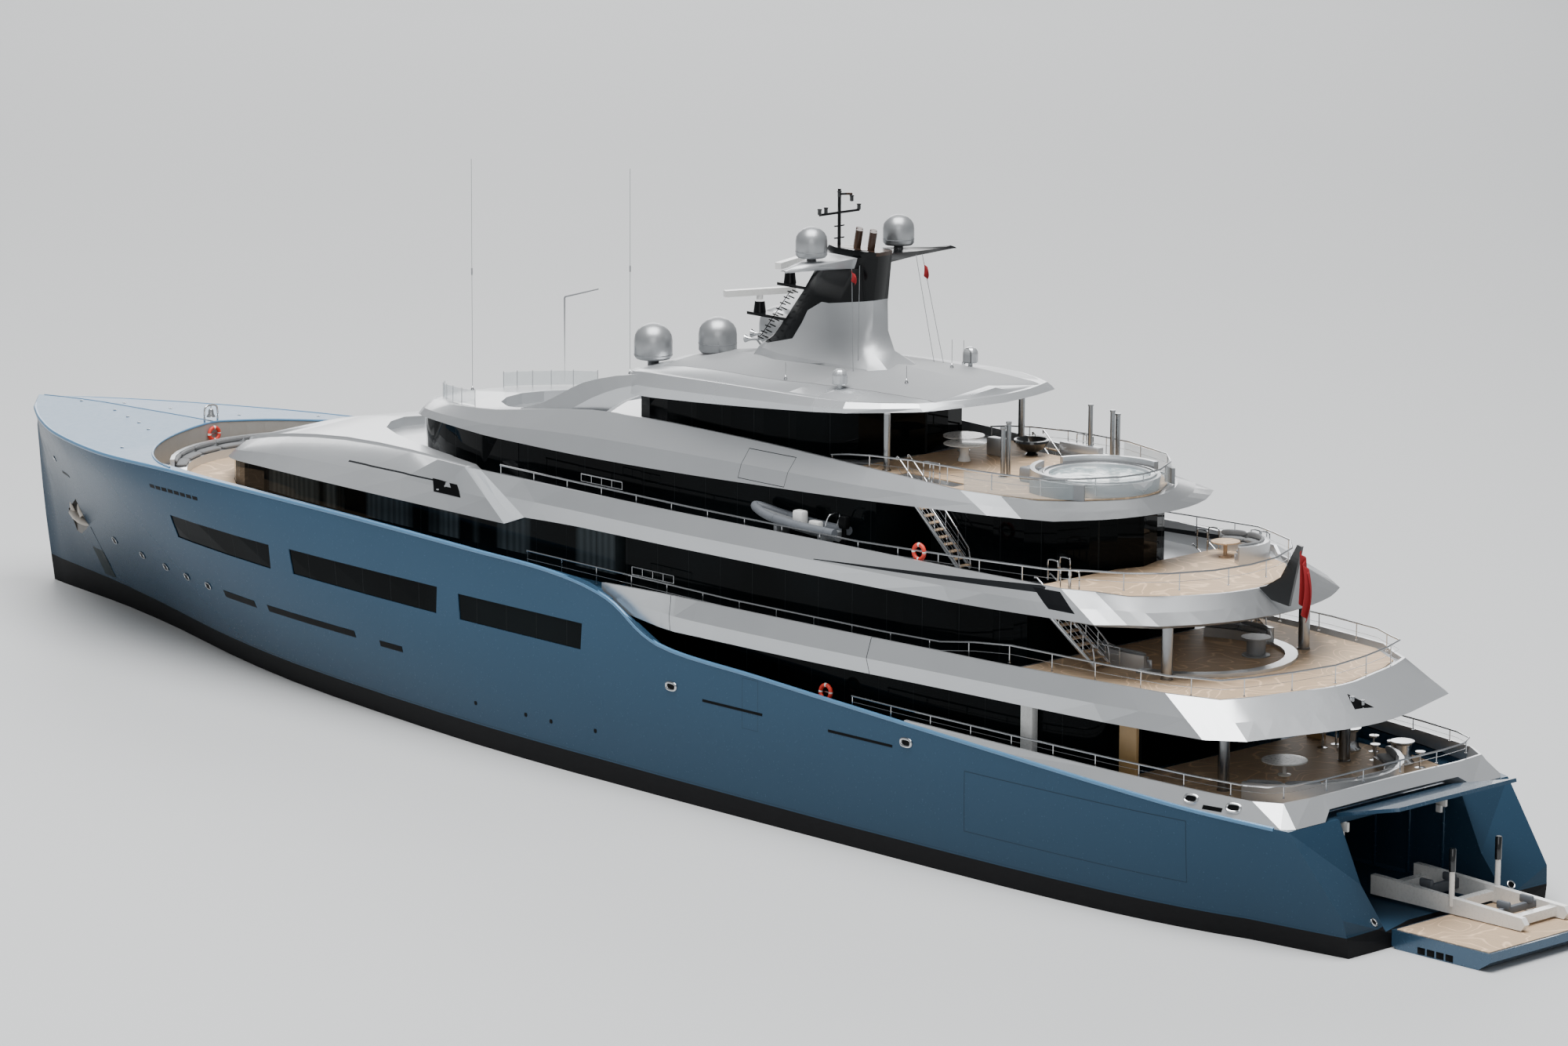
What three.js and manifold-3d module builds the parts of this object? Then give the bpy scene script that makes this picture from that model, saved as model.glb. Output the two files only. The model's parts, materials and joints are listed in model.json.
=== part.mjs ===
import * as THREE from 'three';
import { mergeVertices } from 'three/examples/jsm/utils/BufferGeometryUtils.js';
import Module from 'manifold-3d';

const wasm = await Module();
wasm.setup();

// Motor yacht with a raised bow, drawn in metres of the full-size vessel and
// built at one tenth. +X to the bow, +Y to port, +Z up, origin amidships on
// the centreline at the waterline.
const METRE = 100;       // model millimetres for one full-size metre
const GAP = 0.004;       // joint line between touching pieces
const PLAY = 0.08;       // clearance round a moving piece
const STEPS = 2;         // loft steps between two rows of a table
const MAIN_DECK = 5.0;
const MAIN_CEILING = 8.3;
const UPPER_WELL = 8.8;
const UPPER_SIDE = 8.86;
const UPPER_AFT = 9.42;
const BRIDGE_DECK = 12.25;
const BRIDGE_AFT = 12.85;
const SUN_FORE = 14.55;
const SUN_DECK = 16.0;
const GLASS = 0.16;      // thickness of a glazed deckhouse wall

const PAINT = {
  blue: new THREE.MeshStandardMaterial({ color: 0x35536f, roughness: 0.35, metalness: 0.4 }),
  silver: new THREE.MeshStandardMaterial({ color: 0xb4b7bc, roughness: 0.35, metalness: 0.4 }),
  glass: new THREE.MeshStandardMaterial({ color: 0x0b0e11, roughness: 0.08, metalness: 0.1 }),
  steel: new THREE.MeshStandardMaterial({ color: 0xc9ccd0, roughness: 0.25, metalness: 0.9 }),
  bronze: new THREE.MeshStandardMaterial({ color: 0x9a7440, roughness: 0.35, metalness: 0.9 }),
  black: new THREE.MeshStandardMaterial({ color: 0x15171a, roughness: 0.4, metalness: 0.2 }),
  teak: new THREE.MeshStandardMaterial({ color: 0xb08a5c, roughness: 0.7, metalness: 0.0 }),
  white: new THREE.MeshStandardMaterial({ color: 0xe4e5e6, roughness: 0.45, metalness: 0.0 }),
};

const root = new THREE.Group();
root.name = 'motor_yacht';

/** Signed volume of an indexed triangle list. */
function volumeOf(points, faces) {
  let sum = 0;
  for (const [a, b, c] of faces) {
    const [p, q, r] = [points[a], points[b], points[c]];
    sum += p[0] * (q[1] * r[2] - q[2] * r[1])
      + p[1] * (q[2] * r[0] - q[0] * r[2])
      + p[2] * (q[0] * r[1] - q[1] * r[0]);
  }
  return sum / 6;
}

/** Closed mesh in model millimetres from points in metres, faces turned out. */
function closedMesh(points, faces) {
  const turned = volumeOf(points, faces) < 0 ? faces.map(([a, b, c]) => [a, c, b]) : faces;
  const geometry = new THREE.BufferGeometry();
  const flat = points.flat().map((v) => v * METRE);
  geometry.setAttribute('position', new THREE.Float32BufferAttribute(flat, 3));
  geometry.setIndex(turned.flat());
  return tidy(geometry);
}

/** Merged vertices, without faces that have collapsed to a line. */
function tidy(geometry) {
  geometry.deleteAttribute('normal');
  geometry.deleteAttribute('uv');
  const merged = mergeVertices(geometry, 1e-3);
  const index = merged.getIndex().array;
  const kept = [];
  for (let i = 0; i < index.length; i += 3) {
    const [a, b, c] = [index[i], index[i + 1], index[i + 2]];
    if (a !== b && b !== c && a !== c) kept.push(a, b, c);
  }
  merged.setIndex(kept);
  return merged;
}

/** Solid of the boolean library from a closed geometry in millimetres. */
function asSolid(source) {
  const geometry = tidy(source.index ? source.clone() : source);
  return new wasm.Manifold(new wasm.Mesh({
    numProp: 3,
    vertProperties: new Float32Array(geometry.attributes.position.array),
    triVerts: new Uint32Array(geometry.getIndex().array),
  }));
}

/** Geometry of a solid of the boolean library. */
function asGeometry(solid) {
  const mesh = solid.getMesh();
  const geometry = new THREE.BufferGeometry();
  geometry.setAttribute('position', new THREE.Float32BufferAttribute(mesh.vertProperties, 3));
  geometry.setIndex(Array.from(mesh.triVerts));
  return geometry;
}

function cut(base, ...tools) {
  return asGeometry(tools.reduce((solid, tool) => solid.subtract(asSolid(tool)), asSolid(base)));
}

function join(...pieces) {
  const [first, ...others] = pieces.map(asSolid);
  return asGeometry(others.reduce((solid, piece) => solid.add(piece), first));
}

function common(base, tool) {
  return asGeometry(asSolid(base).intersect(asSolid(tool)));
}

/** The starboard twin of a port geometry. */
function mirrored(geometry) {
  const copy = geometry.clone();
  const position = copy.attributes.position;
  for (let i = 0; i < position.count; i += 1) position.setY(i, -position.getY(i));
  const index = Array.from(copy.getIndex().array);
  for (let i = 0; i < index.length; i += 3) [index[i], index[i + 1]] = [index[i + 1], index[i]];
  copy.setIndex(index);
  return copy;
}

function moved(geometry, x, y, z) {
  return geometry.clone().translate(x * METRE, y * METRE, z * METRE);
}

function node(name, geometry, material) {
  const shown = geometry.clone();
  shown.computeVertexNormals();
  const mesh = new THREE.Mesh(shown, material);
  mesh.name = name;
  root.add(mesh);
  return mesh;
}

/** A pair of nodes, the second the mirror image of the first. */
function nodePair(name, geometry, material) {
  node(`${name}_port`, geometry, material);
  node(`${name}_starboard`, mirrored(geometry), material);
}

/** Rows of a table filled in between; a row with corner: true stays a break. */
function filled(rows, steps = STEPS) {
  const keys = Object.keys(rows[0]).filter((key) => key !== 'corner');
  const out = [];
  for (let i = 0; i < rows.length - 1; i += 1) {
    const [a, b] = [rows[i], rows[i + 1]];
    const before = a.corner || i === 0 ? a : rows[i - 1];
    const after = b.corner || i === rows.length - 2 ? b : rows[i + 2];
    for (let k = 0; k < steps; k += 1) {
      const t = k / steps;
      const row = {};
      for (const key of keys) {
        const from = before === a ? b[key] - a[key] : (b[key] - before[key]) / 2;
        const to = after === b ? b[key] - a[key] : (after[key] - a[key]) / 2;
        const [t2, t3] = [t * t, t * t * t];
        row[key] = (2 * t3 - 3 * t2 + 1) * a[key] + (t3 - 2 * t2 + t) * from
          + (3 * t2 - 2 * t3) * b[key] + (t3 - t2) * to;
      }
      out.push(row);
    }
  }
  const last = {};
  for (const key of keys) last[key] = rows[rows.length - 1][key];
  out.push(last);
  return out;
}

/** Half loop of [x, y] moved inwards, kept on the centreline at its ends. */
function inset(half, distance) {
  return half.map(([x, y], i) => {
    const [ax, ay] = i === 0 ? [half[1][0], -half[1][1]] : half[i - 1];
    const [bx, by] = i === half.length - 1
      ? [half[i - 1][0], -half[i - 1][1]] : half[i + 1];
    const [ux, uy] = unit(x - ax, y - ay);
    const [vx, vy] = unit(bx - x, by - y);
    const [nx, ny] = unit(-(uy + vy), ux + vx);
    const miter = Math.min(1.6, 1 / Math.max(0.3, nx * -vy + ny * vx));
    const moveX = x + nx * distance * miter;
    const moveY = y + ny * distance * miter;
    return i === 0 || i === half.length - 1 ? [moveX, 0] : [moveX, Math.max(moveY, 0.01)];
  });
}

function unit(x, y) {
  const length = Math.hypot(x, y) || 1;
  return [x / length, y / length];
}

/**
 * Solid between loops that are symmetric about the centreline. Each ring is a
 * half loop of [x, y, z] from bow to stern; the first and the last are closed
 * across the ship, the last with a crown on the centreline.
 */
function shell(rings, crown = () => 0) {
  const count = rings[0].length;
  const points = [];
  const faces = [];
  const at = [];
  for (const ring of rings) {
    const port = ring.map((p) => points.push([p[0], p[1], p[2]]) - 1);
    const starboard = ring.map((p, i) => (
      i === 0 || i === count - 1 ? port[i] : points.push([p[0], -p[1], p[2]]) - 1));
    at.push([port, starboard]);
  }
  for (let r = 0; r < rings.length - 1; r += 1) {
    for (let side = 0; side < 2; side += 1) {
      const [a, b] = [at[r][side], at[r + 1][side]];
      for (let i = 0; i < count - 1; i += 1) {
        const quad = [[a[i], a[i + 1], b[i + 1]], [a[i], b[i + 1], b[i]]];
        faces.push(...(side ? quad.map(([p, q, s]) => [p, s, q]) : quad));
      }
    }
  }
  for (const [r, up, rise] of [[0, false, () => 0], [rings.length - 1, true, crown]]) {
    const [port, starboard] = at[r];
    const middle = rings[r].map((p, i) => (i === 0 || i === count - 1 ? port[i]
      : points.push([p[0], 0, p[2] + rise(p[0])]) - 1));
    for (let i = 0; i < count - 1; i += 1) {
      const quads = [[port[i], port[i + 1], middle[i + 1]], [port[i], middle[i + 1], middle[i]],
        [middle[i], middle[i + 1], starboard[i + 1]], [middle[i], starboard[i + 1], starboard[i]]];
      for (const [a, b, c] of quads) {
        if (a !== b && b !== c && a !== c) faces.push(up ? [a, b, c] : [a, c, b]);
      }
    }
  }
  return closedMesh(points, faces);
}

/** Upright wall of even thickness along a half loop, mirrored and closed. */
function ringWall(half, bottom, top, thickness, inward = 0) {
  const inner = inset(half, thickness);
  const lower = (p, i) => [...p, typeof bottom === 'function' ? bottom(half[i][0]) : bottom];
  const upper = (p, i) => [...p, typeof top === 'function' ? top(half[i][0]) : top];
  const raised = inward ? inset(half, inward) : half;
  const raisedInner = inward ? inset(half, inward + thickness) : inner;
  const loops = [half.map(lower), raised.map(upper), raisedInner.map(upper), inner.map(lower)];
  const count = half.length;
  const points = [];
  const faces = [];
  const at = loops.map((ring) => {
    const port = ring.map((p) => points.push(p) - 1);
    const starboard = ring.map((p, i) => (
      i === 0 || i === count - 1 ? port[i] : points.push([p[0], -p[1], p[2]]) - 1));
    return [port, starboard];
  });
  for (let r = 0; r < 4; r += 1) {
    for (let side = 0; side < 2; side += 1) {
      const [a, b] = [at[r][side], at[(r + 1) % 4][side]];
      for (let i = 0; i < count - 1; i += 1) {
        const quad = [[a[i], a[i + 1], b[i + 1]], [a[i], b[i + 1], b[i]]];
        faces.push(...(side ? quad.map(([p, q, s]) => [p, s, q]) : quad));
      }
    }
  }
  return closedMesh(points, faces);
}

/** Upright prism over an outline of [x, y] points. */
function prism(outline, bottom, top) {
  const shape = new THREE.Shape(outline.map(([x, y]) => new THREE.Vector2(x * METRE, y * METRE)));
  const geometry = new THREE.ExtrudeGeometry(shape, {
    depth: (top - bottom) * METRE, bevelEnabled: false, steps: 1,
  });
  geometry.translate(0, 0, bottom * METRE);
  return tidy(geometry);
}

/** Prism seen from the side: an outline of [x, z] points between two half breadths. */
function sideShape(outline, y0, y1) {
  const shape = new THREE.Shape(outline.map(([x, z]) => new THREE.Vector2(x * METRE, z * METRE)));
  const geometry = new THREE.ExtrudeGeometry(shape, {
    depth: (y1 - y0) * METRE, bevelEnabled: false, steps: 1,
  });
  geometry.rotateX(Math.PI / 2);
  geometry.translate(0, y1 * METRE, 0);
  return oriented(geometry);
}

/** Both sides of a half outline that starts and ends near the centreline. */
function wholeOutline(half) {
  const starboard = half.filter(([, y]) => y > 1e-6).map(([x, y]) => [x, -y]).reverse();
  return [...half, ...starboard];
}

function block(x0, x1, y0, y1, z0, z1) {
  const geometry = new THREE.BoxGeometry(
    (x1 - x0) * METRE, (y1 - y0) * METRE, (z1 - z0) * METRE);
  geometry.translate((x0 + x1) / 2 * METRE, (y0 + y1) / 2 * METRE, (z0 + z1) / 2 * METRE);
  return tidy(geometry);
}

/** Turned piece about an upright axis, from a closed profile of [radius, z]. */
function turned(profile, sides = 24) {
  const points = profile.map(([radius, z]) => new THREE.Vector2(radius * METRE, z * METRE));
  const geometry = new THREE.LatheGeometry(points, sides);
  geometry.rotateX(Math.PI / 2);
  return oriented(geometry);
}

/** Merged geometry whose faces look out. */
function oriented(source) {
  const geometry = tidy(source);
  const position = geometry.attributes.position;
  const points = [];
  for (let i = 0; i < position.count; i += 1) {
    points.push([position.getX(i), position.getY(i), position.getZ(i)]);
  }
  const index = Array.from(geometry.getIndex().array);
  const faces = [];
  for (let i = 0; i < index.length; i += 3) faces.push([index[i], index[i + 1], index[i + 2]]);
  if (volumeOf(points, faces) < 0) {
    geometry.setIndex(faces.map(([a, b, c]) => [a, c, b]).flat());
  }
  return geometry;
}

/** Round bar between two places. */
function bar(from, to, radius, sides = 8) {
  const a = new THREE.Vector3(...from).multiplyScalar(METRE);
  const b = new THREE.Vector3(...to).multiplyScalar(METRE);
  const geometry = new THREE.CylinderGeometry(
    radius * METRE, radius * METRE, a.distanceTo(b), sides);
  const up = new THREE.Vector3(0, 1, 0);
  geometry.applyQuaternion(new THREE.Quaternion().setFromUnitVectors(
    up, b.clone().sub(a).normalize()));
  const middle = a.add(b).multiplyScalar(0.5);
  geometry.translate(middle.x, middle.y, middle.z);
  return oriented(geometry);
}

/** Loft through sections that are loops of equal length. */
function loft(sections) {
  const points = sections.flat();
  const count = sections[0].length;
  const faces = [];
  for (let s = 0; s < sections.length - 1; s += 1) {
    for (let i = 0; i < count; i += 1) {
      const j = (i + 1) % count;
      const [a, b, c, d] = [s * count + i, s * count + j, (s + 1) * count + j, (s + 1) * count + i];
      faces.push([a, b, c], [a, c, d]);
    }
  }
  const last = (sections.length - 1) * count;
  for (let i = 1; i < count - 1; i += 1) {
    faces.push([0, i + 1, i], [last, last + i, last + i + 1]);
  }
  return closedMesh(points, faces);
}

// Half breadths at the waterline, half way up the side and at the rim; top is
// the height of the rim, crown that of the deck on the centreline, and round
// the fullness of the bottom (smaller is boxier).
const HULL_ROWS = [
  { x: -45.1, keel: -0.7, round: 0.9, water: 6.35, middle: 6.75, rim: 7.1, top: 5.0, crown: 5.0 },
  { x: -43, keel: -1.1, round: 0.85, water: 7.05, middle: 7.35, rim: 7.6, top: 5.15, crown: 5.0 },
  { x: -40, keel: -1.8, round: 0.78, water: 7.7, middle: 7.95, rim: 8.05, top: 5.3, crown: 5.0 },
  { x: -36, keel: -2.9, round: 0.68, water: 8.2, middle: 8.35, rim: 8.35, top: 5.55, crown: 5.0 },
  { x: -30, keel: -4.15, round: 0.55, water: 8.48, middle: 8.56, rim: 8.54, top: 5.9, crown: 5.0 },
  { x: -22, keel: -4.25, round: 0.5, water: 8.52, middle: 8.6, rim: 8.6, top: 6.32, crown: 5.0 },
  { x: -15, keel: -4.25, round: 0.48, water: 8.52, middle: 8.62, rim: 8.62, top: 6.7, crown: 5.0 },
  { x: -9.6, keel: -4.25, round: 0.48, water: 8.5, middle: 8.62, rim: 8.62, top: 6.92, crown: 5.0 },
  { x: -8.3, keel: -4.25, round: 0.48, water: 8.49, middle: 8.62, rim: 8.62,
    top: 7.12, crown: 5.0, corner: true },
  { x: -4.9, keel: -4.25, round: 0.5, water: 8.43, middle: 8.62, rim: 8.62,
    top: 8.72, crown: 5.0, corner: true },
  { x: -3.4, keel: -4.25, round: 0.5, water: 8.41, middle: 8.62, rim: 8.62, top: 9.18, crown: 8.7 },
  { x: -1, keel: -4.25, round: 0.5, water: 8.36, middle: 8.62, rim: 8.62, top: 9.38, crown: 8.9 },
  { x: 5, keel: -4.25, round: 0.52, water: 8.05, middle: 8.58, rim: 8.62, top: 9.56, crown: 9.1 },
  { x: 13, keel: -4.25, round: 0.58, water: 7.2, middle: 8.35, rim: 8.62, top: 9.78, crown: 9.6 },
  { x: 21, keel: -4.25, round: 0.68, water: 6.05, middle: 7.8, rim: 8.6, top: 9.92, crown: 10.1 },
  { x: 28, keel: -4.25, round: 0.8, water: 4.45, middle: 6.75, rim: 8.4, top: 9.98, crown: 10.45 },
  { x: 34, keel: -4.2, round: 0.95, water: 2.75, middle: 5.2, rim: 7.75, top: 9.85, crown: 10.42 },
  { x: 40, keel: -4.0, round: 1.05, water: 1.35, middle: 3.3, rim: 5.9, top: 9.74, crown: 10.27 },
  { x: 44, keel: -3.75, round: 1.1, water: 0.7, middle: 1.95, rim: 3.95, top: 9.72, crown: 10.16 },
  { x: 47, keel: -3.35, round: 1.15, water: 0.26, middle: 0.9, rim: 2.05, top: 9.72, crown: 10.0 },
];

// Line of the stem: how far forward it stands at each height.
const STEM_ROWS = [
  { z: -3.2, x: 47.2 }, { z: -2.0, x: 48.0 }, { z: 0, x: 48.2 }, { z: 2, x: 48.6 },
  { z: 4, x: 48.98 }, { z: 7.4, x: 49.4 }, { z: 9.0, x: 49.55 }, { z: 9.78, x: 49.3 },
];

function stemAt(z) {
  let i = 0;
  while (i < STEM_ROWS.length - 2 && STEM_ROWS[i + 1].z < z) i += 1;
  const [a, b] = [STEM_ROWS[i], STEM_ROWS[i + 1]];
  return a.x + (b.x - a.x) * (z - a.z) / (b.z - a.z);
}

/** How far aft the sloping transom reaches at height z. */
function transomAt(z) {
  return Math.max(-47.9, -45.1 - (MAIN_DECK - z) * 0.8);
}

/** Port half of a cross-section from keel to deck centre as [y, z] pairs. */
function hullHalf(row, less = 0) {
  const half = [[0, row.keel + less]];
  for (let i = 1; i <= 6; i += 1) {
    const t = i / 6 * Math.PI / 2;
    half.push([Math.max(0.02, row.water - less) * Math.sin(t) ** row.round,
      (row.keel + less) * Math.cos(t) ** row.round]);
  }
  for (let i = 1; i <= 6; i += 1) {
    const t = i / 6;
    const y = row.water * (1 - t) * (1 - 2 * t) + row.middle * 4 * t * (1 - t)
      + row.rim * t * (2 * t - 1);
    half.push([Math.max(0.02, y - less), row.top * t]);
  }
  half.push([0, row.crown]);
  return half;
}

/** Hull envelope, drawn in by less metres all round when less is given. */
function hullBody(less = 0) {
  const rows = filled(HULL_ROWS, 2);
  const sections = rows.map((row) => {
    const half = hullHalf(row, less);
    const aft = Math.min(1, Math.max(0, (-43 - row.x) / 2.1));
    const place = ([y, z], side) => [
      row.x + aft * (transomAt(z) + 45.1), side * y, z];
    return [...half.map((p) => place(p, 1)),
      ...half.slice(1, -1).reverse().map((p) => place(p, -1))];
  });
  const bow = hullHalf({ keel: -3.2, round: 1, water: 0.02, middle: 0.02, rim: 0.02,
    top: 9.78, crown: 9.83 }, 0);
  const stem = bow.map(([y, z]) => [stemAt(z), y > 0 ? 0.02 : 0, z]);
  sections.push([...stem, ...stem.slice(1, -1).reverse().map(([x, y, z]) => [x, -y, z])]);
  return loft(sections);
}

const hullSolid = hullBody();
const hullCore = hullBody(0.14);
const paneOuter = hullBody(0.05);
const paneInner = hullBody(0.13);

// Forward well: a round coaming ahead of the deckhouse, then the side passages.
const COAMING_RADIUS = 8.25;
const COAMING_CENTRE = 26.2;
const wellHalf = [];
for (let i = 0; i <= 10; i += 1) {
  const angle = i / 10 * 1.18;
  wellHalf.push([COAMING_CENTRE + COAMING_RADIUS * Math.cos(angle),
    COAMING_RADIUS * Math.sin(angle)]);
}
wellHalf.push([25, 8.1], [18, 8.26], [8, 8.3], [-4, 8.3], [-4, 0]);
const forwardWell = prism(wholeOutline(wellHalf.map(([x, y]) => [x, Math.max(y, 0)])),
  UPPER_WELL, 13);
const sideWell = prism(wholeOutline([[-3.9, 0], [-3.9, 8.24], [-9, 8.26], [-22, 8.24], [-30, 8.18],
  [-36, 7.98], [-40, 7.68], [-43, 7.2], [-50, 5.6], [-50, 0]]), MAIN_DECK, 13);

// Garage behind the transom, open aft, with its floor at the platform.
const GARAGE = { front: -38.5, half: 3.9, floor: 0.72, roof: 4.72 };
const garage = block(-51, GARAGE.front, -GARAGE.half, GARAGE.half, GARAGE.floor, GARAGE.roof);

// Anchor pockets in the flare of the bow.
const pocketBox = new THREE.BoxGeometry(2.3 * METRE, 1.9 * METRE, 1.5 * METRE);
pocketBox.rotateY(0.42);
pocketBox.rotateZ(-0.28);
const pocketPort = moved(tidy(pocketBox), 43.75, 2.55, 4.3);

// Long windows in the hull side, as corners in x and z.
const HULL_WINDOWS = [
  { name: 'fore', x0: 20.0, x1: 28.55, z0: 6.12, z1: 7.36, tilt: 0.14 },
  { name: 'mid', x0: 7.1, x1: 18.15, z0: 6.06, z1: 7.36, tilt: 0.12 },
  { name: 'aft', x0: -3.1, x1: 5.4, z0: 6.0, z1: 7.25, tilt: 0.04 },
];

/** Prism through the hull side in the outline of a window. */
function windowPrism(row, less) {
  const outline = [[row.x0 + less, row.z0 + less], [row.x1 - less, row.z0 + row.tilt + less],
    [row.x1 - less + 0.1, row.z1 + row.tilt * 0.5 - less], [row.x0 + less - 0.1, row.z1 - less]];
  return sideShape(outline, 4.6, 9.6);
}

const recesses = HULL_WINDOWS.map((row) => cut(windowPrism(row, 0), hullCore));
const skeg = loft([
  [[-29, 0.5, -3.6], [-29, -0.5, -3.6], [-29, -0.3, -4.1], [-29, 0.3, -4.1]],
  [[-36, 0.4, -2.2], [-36, -0.4, -2.2], [-36, -0.22, -4.0], [-36, 0.22, -4.0]],
  [[-40.5, 0.2, -1.2], [-40.5, -0.2, -1.2], [-40.5, -0.12, -2.8], [-40.5, 0.12, -2.8]],
]);
const PROP = { x: -40.9, y: 3.1, z: -2.95, radius: 1.2 };
const shaft = join(
  bar([-31, PROP.y, PROP.z], [PROP.x + 0.55, PROP.y, PROP.z], 0.14, 10),
  moved(block(-0.25, 0.25, -0.07, 0.07, 0, 1.9), PROP.x + 1.0, PROP.y, PROP.z),
  bar([PROP.x + 1.5, PROP.y, PROP.z], [PROP.x + 0.5, PROP.y, PROP.z], 0.24, 10));

// Stabiliser fins on the turn of the bilge and the rudders, with the bearings
// in the hull that their stocks stand in.
const FIN = { x: 4, y: 7.52, z: -2.96, tilt: 40, stock: 0.14 };
const RUDDER = { x: -43.2, y: 3.1, stock: 0.13 };
const finBearing = bar([0, 0, -0.35], [0, 0, 0.3], FIN.stock + PLAY, 12);
finBearing.rotateX(-(90 + FIN.tilt) * Math.PI / 180);
const bearings = [moved(finBearing, FIN.x, FIN.y, FIN.z),
  bar([RUDDER.x, RUDDER.y, -1.4], [RUDDER.x, RUDDER.y, -0.55], RUDDER.stock + PLAY, 12)];

// Room for the garage door under the edge of the deck.
const doorRecess = sideShape([[-44.55, 5.4], [-45.6, 5.4], [-46.1, 4.4], [-44.95, 4.4]], -3.9, 3.9);
const hull = cut(join(hullSolid, skeg, shaft, mirrored(shaft)), ...bearings,
  ...bearings.map(mirrored), forwardWell, sideWell, garage, doorRecess, pocketPort,
  mirrored(pocketPort), ...recesses, ...recesses.map(mirrored));
node('hull', hull, PAINT.blue);
for (const row of HULL_WINDOWS) {
  const pane = cut(common(windowPrism(row, 0.012), paneOuter), paneInner);
  nodePair(`hull_window_${row.name}`, pane, PAINT.glass);
}

/** Straight-line reading of a table of [x, value] pairs, x falling. */
function along(pairs) {
  return (x) => {
    let i = 0;
    while (i < pairs.length - 2 && pairs[i + 1][0] > x) i += 1;
    const [[xa, a], [xb, b]] = [pairs[i], pairs[i + 1]];
    return a + (b - a) * Math.min(1, Math.max(0, (xa - x) / (xa - xb)));
  };
}

// Undersides of the decks above each deckhouse.
const underBridge = along([[30.3, 9.74], [28.5, 9.92], [26, 10.27], [22.8, 10.6], [19, 10.85],
  [4.2, 10.85], [1.5, 11.4], [-3, 11.7], [-38, 11.9]]);
const underSun = along([[17, 13.6], [14.8, 13.95], [12, 14.2], [5, 14.3], [0, 14.42],
  [-12, 14.72], [-20, 15.02], [-27, 15.42], [-31, 15.48]]);
const underTop = along([[-0.5, 17.82], [-4, 17.78], [-9, 18.05], [-14, 18.4], [-17.5, 18.7],
  [-21.7, 19.05]]);

/**
 * Deck plate with a moulded edge. Each row gives the upper edge (x, y, z), the
 * lower edge (lx, ly, lz), how far the crease between them stands out, and the
 * height of the deck inside the edge.
 */
function deckShell(rows, ceiling, crown, options = {}) {
  const { steps = STEPS, lip = 0.14, skirt = 0.16, deep = 0.55 } = options;
  const full = filled(rows, steps);
  const upper = full.map((row) => [row.x, row.y]);
  const lower = full.map((row) => [row.lx, row.ly]);
  const upperZ = full.map((row) => row.z);
  const lowerZ = full.map((row) => row.lz);
  const creaseHalf = inset(full.map((row) => [
    row.x * 0.45 + row.lx * 0.55, row.y * 0.45 + row.ly * 0.55]), 0)
    .map(([x, y], i) => [x, y === 0 ? 0 : y + full[i].out]);
  const withZ = (half, z) => half.map(([x, y], i) => [x, y, typeof z === 'number' ? z : z[i]]);
  const creaseZ = full.map((row) => row.z * (row.mid ?? 0.45) + row.lz * (1 - (row.mid ?? 0.45)));
  const rings = [
    inset(lower, deep).map(([x, y]) => [x, y, ceiling(x)]),
    withZ(inset(lower, skirt), lowerZ),
    withZ(lower, lowerZ),
    withZ(creaseHalf, creaseZ),
    withZ(upper, upperZ),
    withZ(inset(upper, lip), upperZ),
    withZ(inset(upper, lip + 0.05), full.map((row) => row.deck)),
  ];
  return shell(rings, crown);
}

// Stairs falling aft on each side, from x0 at the head to x1 at the foot.
const STAIRS = [
  { name: 'stair_upper', x0: -28.9, x1: -32.6, y0: 4.55, y1: 5.55, foot: 9.478, head: 12.1, steps: 9 },
  { name: 'stair_bridge', x0: -19.6, x1: -23.6, y0: 3.95, y1: 4.7, foot: 12.258, head: 15.85, steps: 11 },
];

/** Openings in the deck at the head of the stairs. */
function stairwells(row) {
  const well = block(row.x1 + 0.4, row.x0 + 0.15, row.y0 - 0.08, row.y1 + 0.08,
    row.head - 1.2, row.head + 1);
  return [well, mirrored(well)];
}

/** Pillar that hangs from the deck above and stops just over the one below. */
function pillar(x, y, foot, head, radius) {
  return bar([x, y, foot + GAP], [x, y, head], radius, 12);
}

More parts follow.
